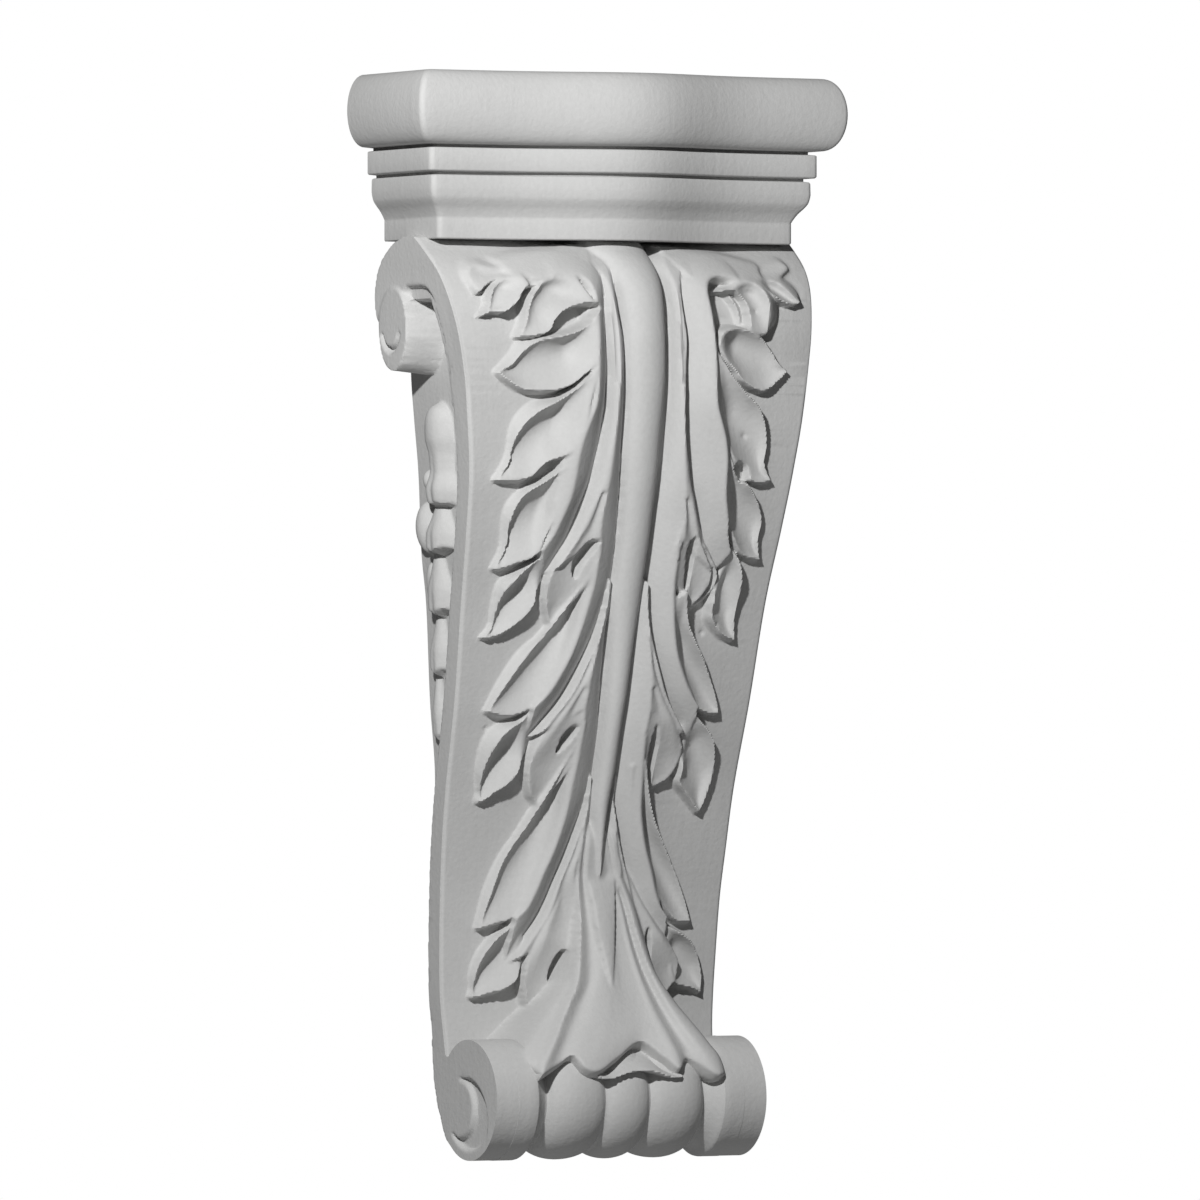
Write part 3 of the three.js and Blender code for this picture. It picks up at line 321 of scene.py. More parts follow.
RIGHT_LOBES = dict(
    crown=dict(foot=[[22.3, 214.4], [27.5, 213.5], [29.6, 212.1], [32.3, 210.6], [37.0, 210.5], [43.2, 211.8]], crest=[[18.7, 210.3], [24.0, 210.9], [27.3, 209.9], [31.0, 209.0], [36.0, 209.1], [42.0, 210.5]],
        lip=[[22.3, 209.1], [25.7, 208.7], [28.4, 207.5], [31.4, 206.6], [35.1, 206.5], [40.1, 207.0]], tip=[44.5, 209.3], r=[4.5, 4.0, 2.6], l=[5.0, 4.2, 3.2], b=3.0, rt=3.0),
    beak=dict(foot=[[34.0, 207.3], [38.3, 207.1], [41.5, 206.9], [43.7, 205.5], [45.0, 203.1]], crest=[[31.6, 206.4], [35.1, 206.2], [37.9, 205.5], [39.9, 203.9], [41.8, 201.8]],
        lip=[[32.7, 205.2], [34.0, 204.0], [35.9, 202.4], [38.0, 201.2], [40.7, 200.4]], tip=[43.7, 200.9], r=[5.0, 4.8, 4.0], l=[5.6, 5.2, 4.4], b=3.6, rt=3.6),
    cup=dict(foot=[[32.2, 207.5], [35.7, 206.6], [37.5, 204.2], [38.4, 201.6], [38.3, 198.7], [37.2, 195.9]], crest=[[28.0, 206.3], [30.8, 205.1], [32.3, 203.2], [33.3, 200.9], [33.4, 198.3], [33.1, 195.7]],
        lip=[[20.8, 203.3], [23.7, 202.9], [25.7, 200.5], [26.7, 198.0], [27.0, 195.6], [29.2, 193.8]], tip=[32.9, 192.9], r=[6.6, 6.6, 5.0], l=[6.6, 6.2, 4.8], b=5.0, rt=3.4),
    lobe1=dict(foot=[[19.4, 194.4], [23.2, 195.4], [27.6, 195.0], [32.0, 193.0], [35.0, 190.0], [37.0, 187.0]], crest=[[19.7, 193.4], [23.3, 194.4], [27.3, 194.0], [31.4, 192.2], [34.2, 189.4], [36.3, 186.3]],
        lip=[[18.8, 190.6], [21.4, 187.1], [24.0, 184.4], [25.9, 182.3], [29.4, 180.4], [32.9, 180.2], [36.1, 182.4]], tip=[39.1, 184.8], r=[5.4, 5.4, 3.0], l=[4.2, 4.2, 3.4], b=2.2, rt=2.7),
    lobe2=dict(foot=[[19.3, 190.0], [22.9, 184.9], [27.2, 180.1], [31.2, 176.6], [33.7, 171.8], [34.6, 167.4], [34.5, 163.0]], crest=[[18.5, 189.4], [22.1, 184.3], [26.5, 179.4], [30.4, 176.0], [32.8, 171.5], [33.6, 167.3], [33.5, 162.7]],
        lip=[[17.9, 181.2], [19.9, 171.9], [22.4, 167.3], [25.1, 163.1], [28.2, 160.1], [31.1, 158.7], [33.5, 158.7]], tip=[36.2, 159.0], r=[5.2, 5.2, 3.0], l=[4.2, 4.2, 3.2], b=2.0, rt=2.7),
    lobe3=dict(foot=[[21.1, 171.2], [25.1, 163.1], [29.0, 159.1], [32.6, 155.5], [35.4, 150.6], [35.4, 145.3]], crest=[[20.2, 170.7], [24.3, 162.6], [28.3, 158.4], [31.8, 154.9], [34.4, 150.3], [34.4, 145.1]],
        lip=[[20.6, 159.1], [23.3, 152.1], [25.8, 147.4], [28.4, 143.5], [30.6, 141.6], [32.6, 140.9], [34.3, 140.7]], tip=[36.1, 140.5], r=[4.8, 4.8, 2.8], l=[4.0, 4.0, 3.0], b=1.9, rt=2.7),
    lobe4=dict(foot=[[27.4, 144.5], [30.3, 140.9], [32.0, 135.9], [32.3, 131.0], [32.1, 126.4]], crest=[[26.6, 143.9], [29.4, 140.4], [31.0, 135.7], [31.3, 131.0], [31.1, 126.3]],
        lip=[[25.1, 136.9], [24.6, 133.4], [24.1, 129.8], [24.3, 126.8], [27.1, 123.7], [29.4, 122.3]], tip=[32.2, 121.6], r=[2.6, 4.6, 2.8], l=[0.6, 4.2, 3.2], b=1.9, rt=2.7),
    nib4=dict(foot=[[20.4, 144.5], [23.1, 141.0], [25.3, 137.1], [24.9, 133.4], [22.7, 130.8]], crest=[[19.6, 143.9], [22.3, 140.4], [24.3, 136.9], [24.0, 133.8], [22.0, 131.5]],
        lip=[[16.9, 143.9], [16.9, 140.4], [17.0, 136.9], [17.6, 133.3], [18.3, 130.5]], tip=[19.4, 128.9], r=[3.8, 3.8, 2.6], l=[3.4, 3.4, 2.8], b=2.4, rt=2.2),
    blade5=dict(foot=[[17.4, 133.5], [18.6, 126.6], [21.3, 121.7], [24.6, 117.0], [27.9, 111.5], [29.8, 107.4]], crest=[[16.4, 133.3], [17.7, 126.3], [20.5, 121.2], [23.8, 116.5], [27.0, 111.0], [28.9, 107.0]],
        lip=[[12.7, 131.0], [14.2, 121.6], [17.0, 115.0], [20.4, 109.4], [23.3, 105.9], [26.8, 104.5]], tip=[30.3, 104.4], r=[4.8, 5.0, 3.0], l=[4.2, 4.2, 3.4], b=2.2, rt=2.8),
    lobe6=dict(foot=[[21.2, 108.1], [25.1, 103.5], [28.7, 99.9], [30.9, 95.6], [31.7, 90.5], [30.5, 84.4]], crest=[[20.4, 107.5], [24.4, 102.8], [27.9, 99.3], [29.9, 95.3], [30.7, 90.5], [29.5, 84.6]],
        lip=[[20.7, 96.9], [21.2, 93.9], [21.4, 91.0], [21.3, 88.2], [23.9, 85.4], [26.1, 83.2]], tip=[28.5, 80.8], r=[2.6, 4.6, 2.8], l=[0.6, 4.2, 3.2], b=1.9, rt=2.8),
    nib6=dict(foot=[[16.1, 105.8], [19.1, 101.4], [21.8, 96.4], [21.0, 92.0], [18.4, 88.8]], crest=[[15.3, 105.2], [18.2, 100.9], [20.8, 96.2], [20.1, 92.4], [17.6, 89.4]],
        lip=[[12.9, 101.7], [13.2, 98.1], [13.6, 94.1], [13.9, 90.3], [14.5, 88.2]], tip=[15.7, 86.8], r=[3.8, 3.8, 2.6], l=[3.4, 3.4, 2.8], b=2.4, rt=2.2),
    blade7=dict(foot=[[12.2, 93.6], [14.3, 85.5], [16.6, 79.2], [20.2, 73.4], [23.9, 67.4], [26.9, 61.2]], crest=[[11.2, 93.4], [13.3, 85.2], [15.7, 78.8], [19.3, 72.9], [23.0, 66.9], [26.0, 60.8]],
        lip=[[7.5, 92.3], [9.2, 82.8], [12.7, 73.4], [16.3, 65.8], [19.8, 59.9], [23.8, 55.6]], tip=[28.6, 55.0], r=[4.8, 5.0, 3.0], l=[4.2, 4.2, 3.4], b=2.1, rt=2.8),
    lobe8=dict(foot=[[21.4, 55.3], [25.4, 53.4], [28.9, 50.8], [31.4, 46.9], [32.5, 42.7]], crest=[[21.0, 54.4], [24.9, 52.5], [28.2, 50.1], [30.5, 46.5], [31.5, 42.5]],
        lip=[[21.8, 50.9], [22.2, 47.3], [22.6, 43.8], [23.8, 40.9], [26.5, 39.9], [29.2, 39.4]], tip=[31.9, 38.2], r=[2.6, 4.4, 2.8], l=[0.6, 4.2, 3.2], b=1.9, rt=2.8),
    nib8=dict(foot=[[18.4, 55.1], [21.1, 52.7], [23.1, 48.8], [23.7, 43.8], [22.7, 39.9]], crest=[[17.7, 54.4], [20.3, 52.1], [22.1, 48.5], [22.7, 43.8], [21.7, 40.2]],
        lip=[[15.8, 53.3], [15.4, 49.8], [15.5, 46.2], [16.4, 43.4], [18.1, 40.0]], tip=[20.7, 37.1], r=[4.0, 4.0, 2.8], l=[4.2, 4.2, 3.2], b=2.6, rt=2.6),
)


def blade(side, name, p, steps=56):
    own = side > 0 and name in RIGHT_LOBES
    if own:
        p = RIGHT_LOBES[name]
    tip = np.array(p["tip"], float)
    t = np.linspace(0, 1, steps)
    curves = [spline(np.vstack([p[k], tip]), t) for k in ("foot", "crest", "lip")]
    if side > 0 and not own:
        base, dt = RIGHT[name]
        w = (t ** 1.3)[:, None]
        shift = np.array([base, 0.0]) * (1 - w) + np.array(dt) * w
        curves = [c + shift for c in curves]
    foot, crest, lip = curves
    r = along(p["r"] + [p["rt"]], t)
    l = along(p["l"] + [p["rt"]], t)
    hollow = np.maximum(0, (r + l) / 2 - p["b"] + 1.9) * ease(t / 0.3) * (1 - t ** 5)
    cols = []
    for q in np.linspace(0, 1, 7):
        cols.append((foot * (1 - q) + crest * q, -0.6 + (r + 0.6) * q ** 0.62))
    for k in np.linspace(0, 1, 26)[1:]:
        # just inside the crest the blade turns over sharply, then the hollow runs up to the lip
        cols.append((crest * (1 - k) + lip * k, r + (l - r) * k - hollow * np.sin(np.pi * k ** 0.7)))
    out = lip - crest
    out = out / np.maximum(np.linalg.norm(out, axis=1), 0.3)[:, None]
    cols.append((lip + out * 0.25, l - 0.35))
    cols.append((lip + out * 0.45, np.full_like(l, -2.0)))
    add_sheet(np.stack([place(side, c[:, 0], c[:, 1], u) for c, u in cols], 1))


def band_sheet(side, a, b, ra, rb, shape, shift=(0, 0), steps=120):
    """A sheet between two curves; shape(k, width) says how far up from ra to rb it is at k."""
    t = np.linspace(0, 1, steps)
    ca, cb = spline(a, t), spline(b, t)
    if side > 0:
        ca[:, 0] += moved(shift[0], ca[:, 1])
        cb[:, 0] += moved(shift[1], cb[:, 1])
    ra, rb = along(ra, t), along(rb, t)
    width = np.linalg.norm(ca - cb, axis=1)
    ks = np.linspace(0, 1, 22)
    cols = []
    for k in ks:
        c = ca * (1 - k) + cb * k
        cols.append(place(side, c[:, 0], c[:, 1], ra + (rb - ra) * shape(k, width)))
    add_sheet(np.stack(cols, 1))


def moved(shift, h):
    """How far the right half's curve stands out from the left's mirror image: a number, or one from a table of heights."""
    if isinstance(shift, list):
        rows = np.array(shift)
        return np.interp(h, rows[:, 0], rows[:, 1])
    return shift


def shelf(side, curve, rise, shift, wide=1.8, drop=2.0):
    """What the lobes grow out of, just outside a rim's crest."""
    c = spline(curve, np.linspace(0, 1, 120))
    g = np.gradient(c, axis=0)
    n = np.stack([-g[:, 1], g[:, 0]], -1) / np.linalg.norm(g, axis=1)[:, None]
    if side > 0:
        c[:, 0] += moved(shift, c[:, 1])
    r = along(rise, np.linspace(0, 1, 120))
    t = np.linspace(0, 1, 120)
    wide = (1.5 + (wide - 1.5) * ease((t - 0.5) / 0.25)) * np.clip((1 - t) * 7, 0.03, 1)
    wide = wide[:, None]
    cols = [(c + n * wide * k, r - drop * k ** 1.6) for k in np.linspace(0, 1, 9)] + [(c + n * wide * 1.2, r * 0 - 2.0)]
    add_sheet(np.stack([place(side, q[:, 0], q[:, 1], u) for q, u in cols], 1))


def skin(side, a, b, ra, rb, shift, up):
    """The level, slightly hollow sheet a strap widens into, down to the tip of its small lobe."""
    t = np.linspace(0, 1, 120)
    ca, cb = spline(a, t), spline(b, t)
    if side > 0:
        for c in (ca, cb):
            c[:, 0] += moved(shift, c[:, 1])
            c[:, 1] += up * t ** 3
    ra, rb = along(ra, t), along(rb, t)
    width = np.linalg.norm(ca - cb, axis=1)
    low = ease((t - 0.45) / 0.3)
    cols = []
    for k in np.linspace(0, 1, 22):
        rise = ra + (rb - ra) * (flank(k, width) * (1 - low) + k * low) - 1.1 * low * np.sin(np.pi * k) * np.clip(width / 6, 0, 1)
        c = ca * (1 - k) + cb * k
        cols.append(place(side, c[:, 0], c[:, 1], rise))
    add_sheet(np.stack(cols, 1))


def web(side, a, b, ra, rb, shift=0.0):
    band_sheet(side, a, b, ra, rb, lambda k, w: k, (shift, shift))


def wall(k, width):
    return 0.68 * k + 0.32 * k ** 3


def flank(k, width):
    """Climbs within a couple of millimetres, then is level or a little hollow up to the crest."""
    d = k * width
    climb = np.clip(d / np.minimum(2.6, width), 0, 1)
    return 0.8 * np.sin(climb * np.pi / 2) + 0.2 * k - 0.22 * np.sin(np.pi * np.clip((d - 2.6) / np.maximum(width - 2.6, 0.1), 0, 1)) * (width > 4)


def upto(curve, h):
    return [p for p in curve if p[1] >= h]


def below(curve, h):
    return [p for p in curve if p[1] <= h]


S_RIM1 = [[140, 2.6], [150, 3.4], [172, 3.6], [200, 3.8], [210, 3.0]]
S_FOOT1 = [[136, 3.0], [150, 2.6], [170, 2.0], [200, 1.9], [210, 4.0]]
S_CREST2 = [[105, 2.4], [118, 2.4], [132, 3.2], [150, 3.6], [165, 2.2], [200, 1.9], [210, 3.0]]
S_FOOT2 = [[98, 2.6], [116, 3.4], [134, 4.4], [150, 3.6], [170, 3.2], [200, 3.3], [210, 3.2]]
S_CREST3 = [[56, 1.2], [70, 2.0], [90, 2.6], [120, 2.4]]
S_FOOT3 = [[46, 1.4], [70, 2.2], [90, 2.8], [120, 2.6]]
for side in (-1, 1):
    shelf(side, RIM1["crest"], RISE1[0], S_RIM1, 3.4 if side < 0 else 1.6, 2.2)
    shelf(side, below(RIM2["crest"], 140), [4.8, 5.0, 5.0, 4.8], S_CREST2, 1.6, 1.6)
    shelf(side, below(RIM3["crest"], 100), [4.8, 5.0, 5.0, 4.6], S_CREST3, 1.6, 1.6)
    band_sheet(side, RIM1["crest"], RIM1["foot"], RISE1[0], RISE1[1], wall, (S_RIM1, S_FOOT1))
    band_sheet(side, RIM1["foot"], upto(RIM2["crest"], 141), RISE1[1], RISE2[0][:5], flank, (S_FOOT1, S_CREST2))
    band_sheet(side, RIM2["crest"], RIM2["foot"], RISE2[0], RISE2[1], wall, (S_CREST2, S_FOOT2))
    band_sheet(side, below(RIM2["foot"], 136), upto(RIM3["crest"], 101), [0.8, 0.8, 0.6], RISE3[0][:4], flank, (S_FOOT2, S_CREST3))
    band_sheet(side, RIM3["crest"], RIM3["foot"], RISE3[0], RISE3[1], wall, (S_CREST3, S_FOOT3))
    band_sheet(side, below(RIM3["foot"], 92), RIM4["crest"], [1.0, 0.8, 0.4], RISE4[0], flank, (S_FOOT3, 2.6))
    band_sheet(side, RIM4["crest"], RIM4["foot"], RISE4[0], RISE4[1], wall, (2.6, 3.0))
    web(side, [[8.0, 214.5], [16.0, 214.0], [26.0, 212.6], [34.5, 210.4]], [[12.5, 206.5], [19.5, 206.8], [26.5, 205.4], [33.0, 206.4]], [4.6, 4.4, 3.4, 2.6], [5.6, 6.2, 6.0, 4.4], 1.4)
    web(side, [[12.0, 209.8], [20.0, 209.2], [27.0, 208.3], [32.5, 206.6]], [[14.0, 205.5], [20.0, 205.5], [26.0, 204.0], [30.0, 203.0]], [4.8, 5.0, 4.6, 3.6], [4.2, 4.6, 4.6, 4.0], 1.6)
    skin(side, [[10.4, 168.2], [11.3, 163.5], [12.1, 158.9], [13.5, 154.2], [14.9, 149.6], [16.9, 144.6], [19.2, 139.5], [20.6, 134.5], [20.3, 130.0], [18.5, 125.6]],
        [[8.2, 168.0], [8.4, 163.5], [8.7, 158.9], [9.1, 154.2], [9.4, 149.6], [8.6, 144.9], [8.2, 141.2], [9.6, 136.4], [12.4, 130.9], [18.0, 125.0]],
        [0.8, 0.8, 0.8, 0.8, 0.8, 1.6, 3.0, 3.4, 3.2, 2.4], [5.0, 5.0, 5.0, 5.2, 5.2, 5.2, 5.0, 4.6, 3.8, 2.4], [[125, 0.5], [132, 2.2], [140, 3.2], [150, 3.2], [168, 2.2]], 3.8)
    skin(side, [[5.6, 123.2], [7.4, 118.6], [10.1, 112.9], [13.3, 106.9], [16.4, 101.5], [18.8, 95.5], [19.3, 90.5], [18.2, 86.0], [15.8, 83.0]],
        [[5.4, 121.6], [6.2, 116.9], [6.9, 111.1], [7.3, 106.0], [6.6, 101.5], [6.8, 97.5], [8.2, 93.0], [10.8, 87.6], [15.2, 82.6]],
        [0.6, 0.6, 0.6, 1.0, 2.6, 3.2, 3.2, 3.0, 2.4], [4.6, 4.8, 5.0, 5.0, 5.0, 4.8, 4.4, 3.6, 2.4], [[82, -0.1], [92, 1.6], [100, 2.7], [123, 2.8]], 4.3)
    skin(side, [[6.5, 71.1], [8.8, 65.2], [11.0, 59.8], [13.0, 55.5], [14.8, 50.5], [16.2, 45.5], [16.6, 40.5], [15.8, 36.0], [14.2, 32.6]],
        [[2.5, 72.0], [3.0, 66.0], [3.2, 59.5], [3.4, 54.0], [3.6, 49.0], [4.8, 44.5], [7.5, 39.5], [10.5, 35.5], [13.8, 32.6]],
        [0.6, 0.6, 0.6, 1.2, 2.8, 3.6, 3.8, 3.4, 2.4], [1.5, 3.0, 4.2, 5.0, 5.4, 5.4, 5.0, 4.2, 2.4], [[32, 6.6], [45, 8.6], [55, 6.0], [72, 3.0]], 5.1)
    band_sheet(side, [[2.6, 66.0], [2.9, 58.0], [3.6, 48.0], [6.5, 42.0], [11.0, 37.0], [16.0, 32.0]], [[4.0, 66.0], [4.6, 58.0], [5.6, 49.0], [8.6, 42.0], [12.6, 36.5], [17.5, 31.0]], [2.0, 5.2, 9.4, 12.2, 14.2, 15.5], [1.0, 3.6, 4.6, 4.6, 3.6, 0.6], lambda k, w: k ** 0.62, (7.6, 7.6))
    for name, row in LOBES.items():
        if side > 0 or not name.startswith("nib"):
            blade(side, name, row)

# the stem
STEM = np.array(STEM)
hs = np.linspace(STEM[-1, 2], 216, 260)
sl, sr = pchip(STEM[:, 2], STEM[:, 0])(hs), pchip(STEM[:, 2], STEM[:, 1])(hs)
taper = np.sqrt(np.clip((hs - STEM[-1, 2]) / 3.0, 0, 1))
sc, sw = (sl + sr) / 2, (sr - sl) / 2 * (0.25 + 0.75 * taper)
su = along([5.2, 5.0, 4.8, 4.6, 4.6, 4.8, 5.4, 8.6], (hs - 62) / 154) * (0.5 + 0.5 * taper)
a = np.linspace(0, np.pi, 33)[None, :]
up = su[:, None] * np.sin(a) ** 0.75
up[:, 0] = up[:, -1] = -1.0
add_sheet(place(1, sc[:, None] - sw[:, None] * np.cos(a), hs[:, None] + 0 * a, up))

# the calyx over the roll
sweep_d = pchip([17, 19.6, 23.6, 27.8, 32.4, 38, 44, 51, 58.5, 62, 66, 70, 76, 84, 90], [36.3, 35.9, 34.2, 31.3, 27.3, 23.4, 20.2, 17.6, 15.8, 15.2, 15.0, 15.6, 17.0, 18.6, 20.0])
tc = np.linspace(0, 1, 110)
cols = [spline(c, tc) for c in CALYX]
cols = np.stack(cols, 1)
m = cols.shape[1]
uc = np.linspace(0, 1, (m - 1) * 9 + 1) * (m - 1)
ui = np.minimum(m - 2, uc.astype(int))
uf = (uc - ui)[None, :, None]
c0, c1 = cols[:, np.maximum(ui - 1, 0)], cols[:, ui]
c2, c3 = cols[:, ui + 1], cols[:, np.minimum(ui + 2, m - 1)]
CX = 0.5 * (2 * c1 + (c2 - c0) * uf + (2 * c0 - 5 * c1 + 4 * c2 - c3) * uf ** 2 + (3 * c1 - c0 - 3 * c2 + c3) * uf ** 3)
calyx = np.stack([CX[..., 0], sweep_d(CX[..., 1]) + CX[..., 2], CX[..., 1]], -1)
edge = calyx[-1:].copy()
under = np.concatenate([calyx, edge + [0, -0.7, -0.5], edge + [0, -2.2, -1.6], edge + [0, -3.6, -2.2], edge + [0, -9.0, -2.6]], 0)
add_sheet(under)

# the hollow under the calyx's middle arch
ARCH = [[[-7.2, 20.5], [-5.2, 22.1], [-2.5, 24.2], [1.2, 26.4], [4.4, 27.7], [7.0, 26.8], [8.5, 24.5], [10.3, 22.4], [12.6, 20.9]],
    [[-9.0, 19.7], [-6.2, 19.2], [-3.7, 19.8], [-0.6, 20.7], [3.0, 21.0], [6.3, 20.5], [8.8, 19.7], [11.7, 19.2], [13.9, 19.8]]]
ta = np.linspace(0, 1, 60)
hi, lo = spline(ARCH[0], ta), spline(ARCH[1], ta)
rows = []
for k in np.linspace(0, 1, 16):
    c = hi * (1 - k) + lo * k
    rows.append(np.stack([c[:, 0], (sweep_d(hi[:, 1]) - 1.2) * (1 - k) + 36.0 * k - 4.4 * np.sin(np.pi * k ** 0.55), c[:, 1]], -1))
rows += [rows[-1] + [0, -0.7, -0.3], rows[-1] + [0, -2.4, -0.7]]
add_sheet(np.stack(rows))

# the tongue that runs on from the stem
TONGUE = [[[-1.4, 69.5], [-0.9, 65.2], [-0.7, 58.7], [-0.4, 52.6], [0.3, 46.3], [1.1, 40.2]],
    [[6.4, 69.4], [6.2, 64.0], [5.5, 58.2], [4.6, 52.3], [3.3, 46.0], [1.5, 40.0]]]
tl, tr = spline(TONGUE[0], ta), spline(TONGUE[1], ta)
lift = along([-2.5, 0.2, 1.3, 1.5, 1.3, 0.5], ta)
rows = []
for k in np.linspace(0, 1, 16):
    c = tl * (1 - k) + tr * k
    rows.append(np.stack([c[:, 0], sweep_d(c[:, 1]) + lift * (1 - 0.35 * k + 0.25 * np.sin(np.pi * k)), c[:, 1]], -1))
add_sheet(np.stack(rows))

# the ground of the face
gx, gh = np.meshgrid([-70.0, 70.0], np.arange(-4, 217, 0.5))
add_sheet(np.stack([gx, face_d(gh), gh], -1))

bvh = BVHTree.FromPolygons([Vector(v) for v in np.vstack(soup_v).tolist()], np.vstack(soup_f).tolist(), all_triangles=False)

STEP = 0.25
xs = np.arange(-52, 52 + STEP / 2, STEP)
zs = np.arange(14, 216 + STEP / 2, STEP)
depth = np.empty((len(zs), len(xs)))
away = Vector((0, -1, 0))
cast = bvh.ray_cast
for i, z in enumerate(zs.tolist()):
    row = depth[i]
    for j, x in enumerate(xs.tolist()):
        hit = cast(Vector((x, 80.0, z)), away)[0]
        row[j] = hit[1] if hit else 0.0


def inside(poly, x, y):
    poly = np.asarray(poly, float)
    r = np.zeros(x.shape, bool)
    for (x0, y0), (x1, y1) in zip(poly, np.roll(poly, -1, axis=0)):
        if y0 == y1:
            continue
        c = (y0 > y) != (y1 > y)
        r ^= c & (x < (x1 - x0) * (y - y0) / (y1 - y0) + x0)
    return r


gx, gz = np.meshgrid(xs, zs)
for poly in SLITS["left"] + SLITS["right"]:
    ring = spline(poly + [poly[0]], np.linspace(0, 1, 60))
    hole = inside(ring, gx, gz)
    depth = np.where(hole, np.minimum(depth, np.maximum(face_d(gz) + 0.4, depth - 3.6)), depth)
depth = blur(depth, 0.8)
softer = blur(depth, 2.4)
weight = ease((gz - 202.5) / 4) * ease((np.abs(gx) - 14) / 4) * 0.85
depth = depth * (1 - weight) + softer * weight
for px, ph, pr in ((28.6, 169.5, 0.7), (24.0, 123.4, 0.6), (26.4, 125.2, 0.5), (30.8, 198.6, 0.6), (-30.5, 101.0, 0.5)):
    depth -= 0.5 * np.exp(-((gx - px) ** 2 + (gz - ph) ** 2) / (pr * pr))

COL, ROW = 0.42, 0.42
hz = np.arange(15.5, 215.6, ROW)
nc = int(round(2 * 46 / COL))
uu = np.linspace(-1, 1, nc)
W = face_w(hz)[:, None] - 0.02
XX = W * uu[None, :]
ZZ = hz[:, None] + 0 * XX
DD = sample(depth, (ZZ - zs[0]) / STEP, (XX - xs[0]) / STEP)
near = np.clip(1 - (W - np.abs(XX)) / 0.9, 0, 1)
DD = DD - 0.9 * (1 - np.sqrt(np.maximum(0, 1 - near ** 2)))
front = slab("front", to_row(XX, DD, ZZ), to_row(XX, np.minimum(DD - 1.5, face_d(ZZ) - 5.0), ZZ))
decimate(front, 120000)

# ---- the sides ---------------------------------------------------------------------------


SS = 0.2
sd = np.arange(-1, 47, SS)
sz = np.arange(-2, 217, SS)
D2, Z2 = np.meshgrid(sd, sz)

qs = np.arange(28.3, 199.5, 0.5)
back = [[float(face_d(h) - band_t(h)), float(h)] for h in qs]
foot = [[14, 16], [13.5, 2.0], [8.2, 6.4], [4.6, 12], [2.6, 18.5], [1.6, 28.0]]
turn = spline([[27.2, 199.4], [26.6, 201.2], [24.9, 202.9], [22.4, 203.8], [14.9, 204]], np.linspace(0, 1, 20)).tolist()
turn += [[BOSS["d"] + 1, BOSS["z"] + 4], [BOSS["d"] - 2, BOSS["z"] - 6.5]]
top = spline([[3.4, 189.6], [1.7, 193.2], [0.5, 197], [0, 201], [0.15, 204.2], [0.9, 207], [2.2, 209.2], [4.1, 211.3], [6.8, 213.2], [10, 214.9], [14, 216]], np.linspace(0, 1, 60)).tolist()
frontline = [[60, 217], [60, 23.2], [10, 22.6]]
band = inside(frontline + foot + back + turn + top, D2, Z2)
boss = ((D2 - BOSS["d"]) / BOSS["rd"]) ** 2 + ((Z2 - BOSS["z"]) / BOSS["rz"]) ** 2 < 1
k = np.clip((Z2 - 186) / 12, 0, 1) * (1 - np.clip(D2 / 33, 0, 1))
band_w = face_w(Z2) + k * (VOLUTE_W - face_w(Z2))
half = panel_w(Z2)
half = np.where(band, band_w, half)
half = np.where(boss, VOLUTE_W, half)

# the strip that steps down from the band beside the volute, with its rounded end
d_b = face_d(Z2) - band_t(Z2)
strip = (D2 > d_b - 3.8) & (D2 < d_b + 0.6) & (Z2 > 177) & (Z2 < 203.5)
strip |= np.hypot(D2 - (d_b - 1.9), Z2 - 177) < 1.9
strip |= (Z2 > 200.5) & (Z2 < 205) & (D2 > 6) & (D2 < 28)
half = np.where(strip & ~band & ~boss, np.maximum(half, band_w - 1.6), half)

# the crescent cut beside the eye of the volute
rad = np.hypot(D2 - 8.3, (Z2 - 194.4) * 0.92)
cres = (rad > 4.1) & (rad < 5.3 - 0.12 * np.abs(D2 - 8.3)) & (Z2 < 193.2)
half = np.where(cres, half - 1.5, half)

# the roll's end: a scroll with a raised eye
roll_disc = (D2 - ROLL["d"]) ** 2 + (Z2 - ROLL["z"]) ** 2 < (ROLL["r"] + 1.0) ** 2
half = np.where(roll_disc & (Z2 < 23.2), ROLL["w"], half)
scroll = ((D2 - 18.3) / 11.2) ** 2 + ((Z2 - 9.4) / 9.9) ** 2 < 1
eye = (D2 - 16.0) ** 2 + (Z2 - 12.0) ** 2 < 6.8 ** 2
half = np.where(scroll & ~eye & ~((D2 < 16) & (Z2 > 6.5)) & (np.hypot(D2 - ROLL["d"], Z2 - ROLL["z"]) < 11.6), ROLL["w"] - 1.2, half)

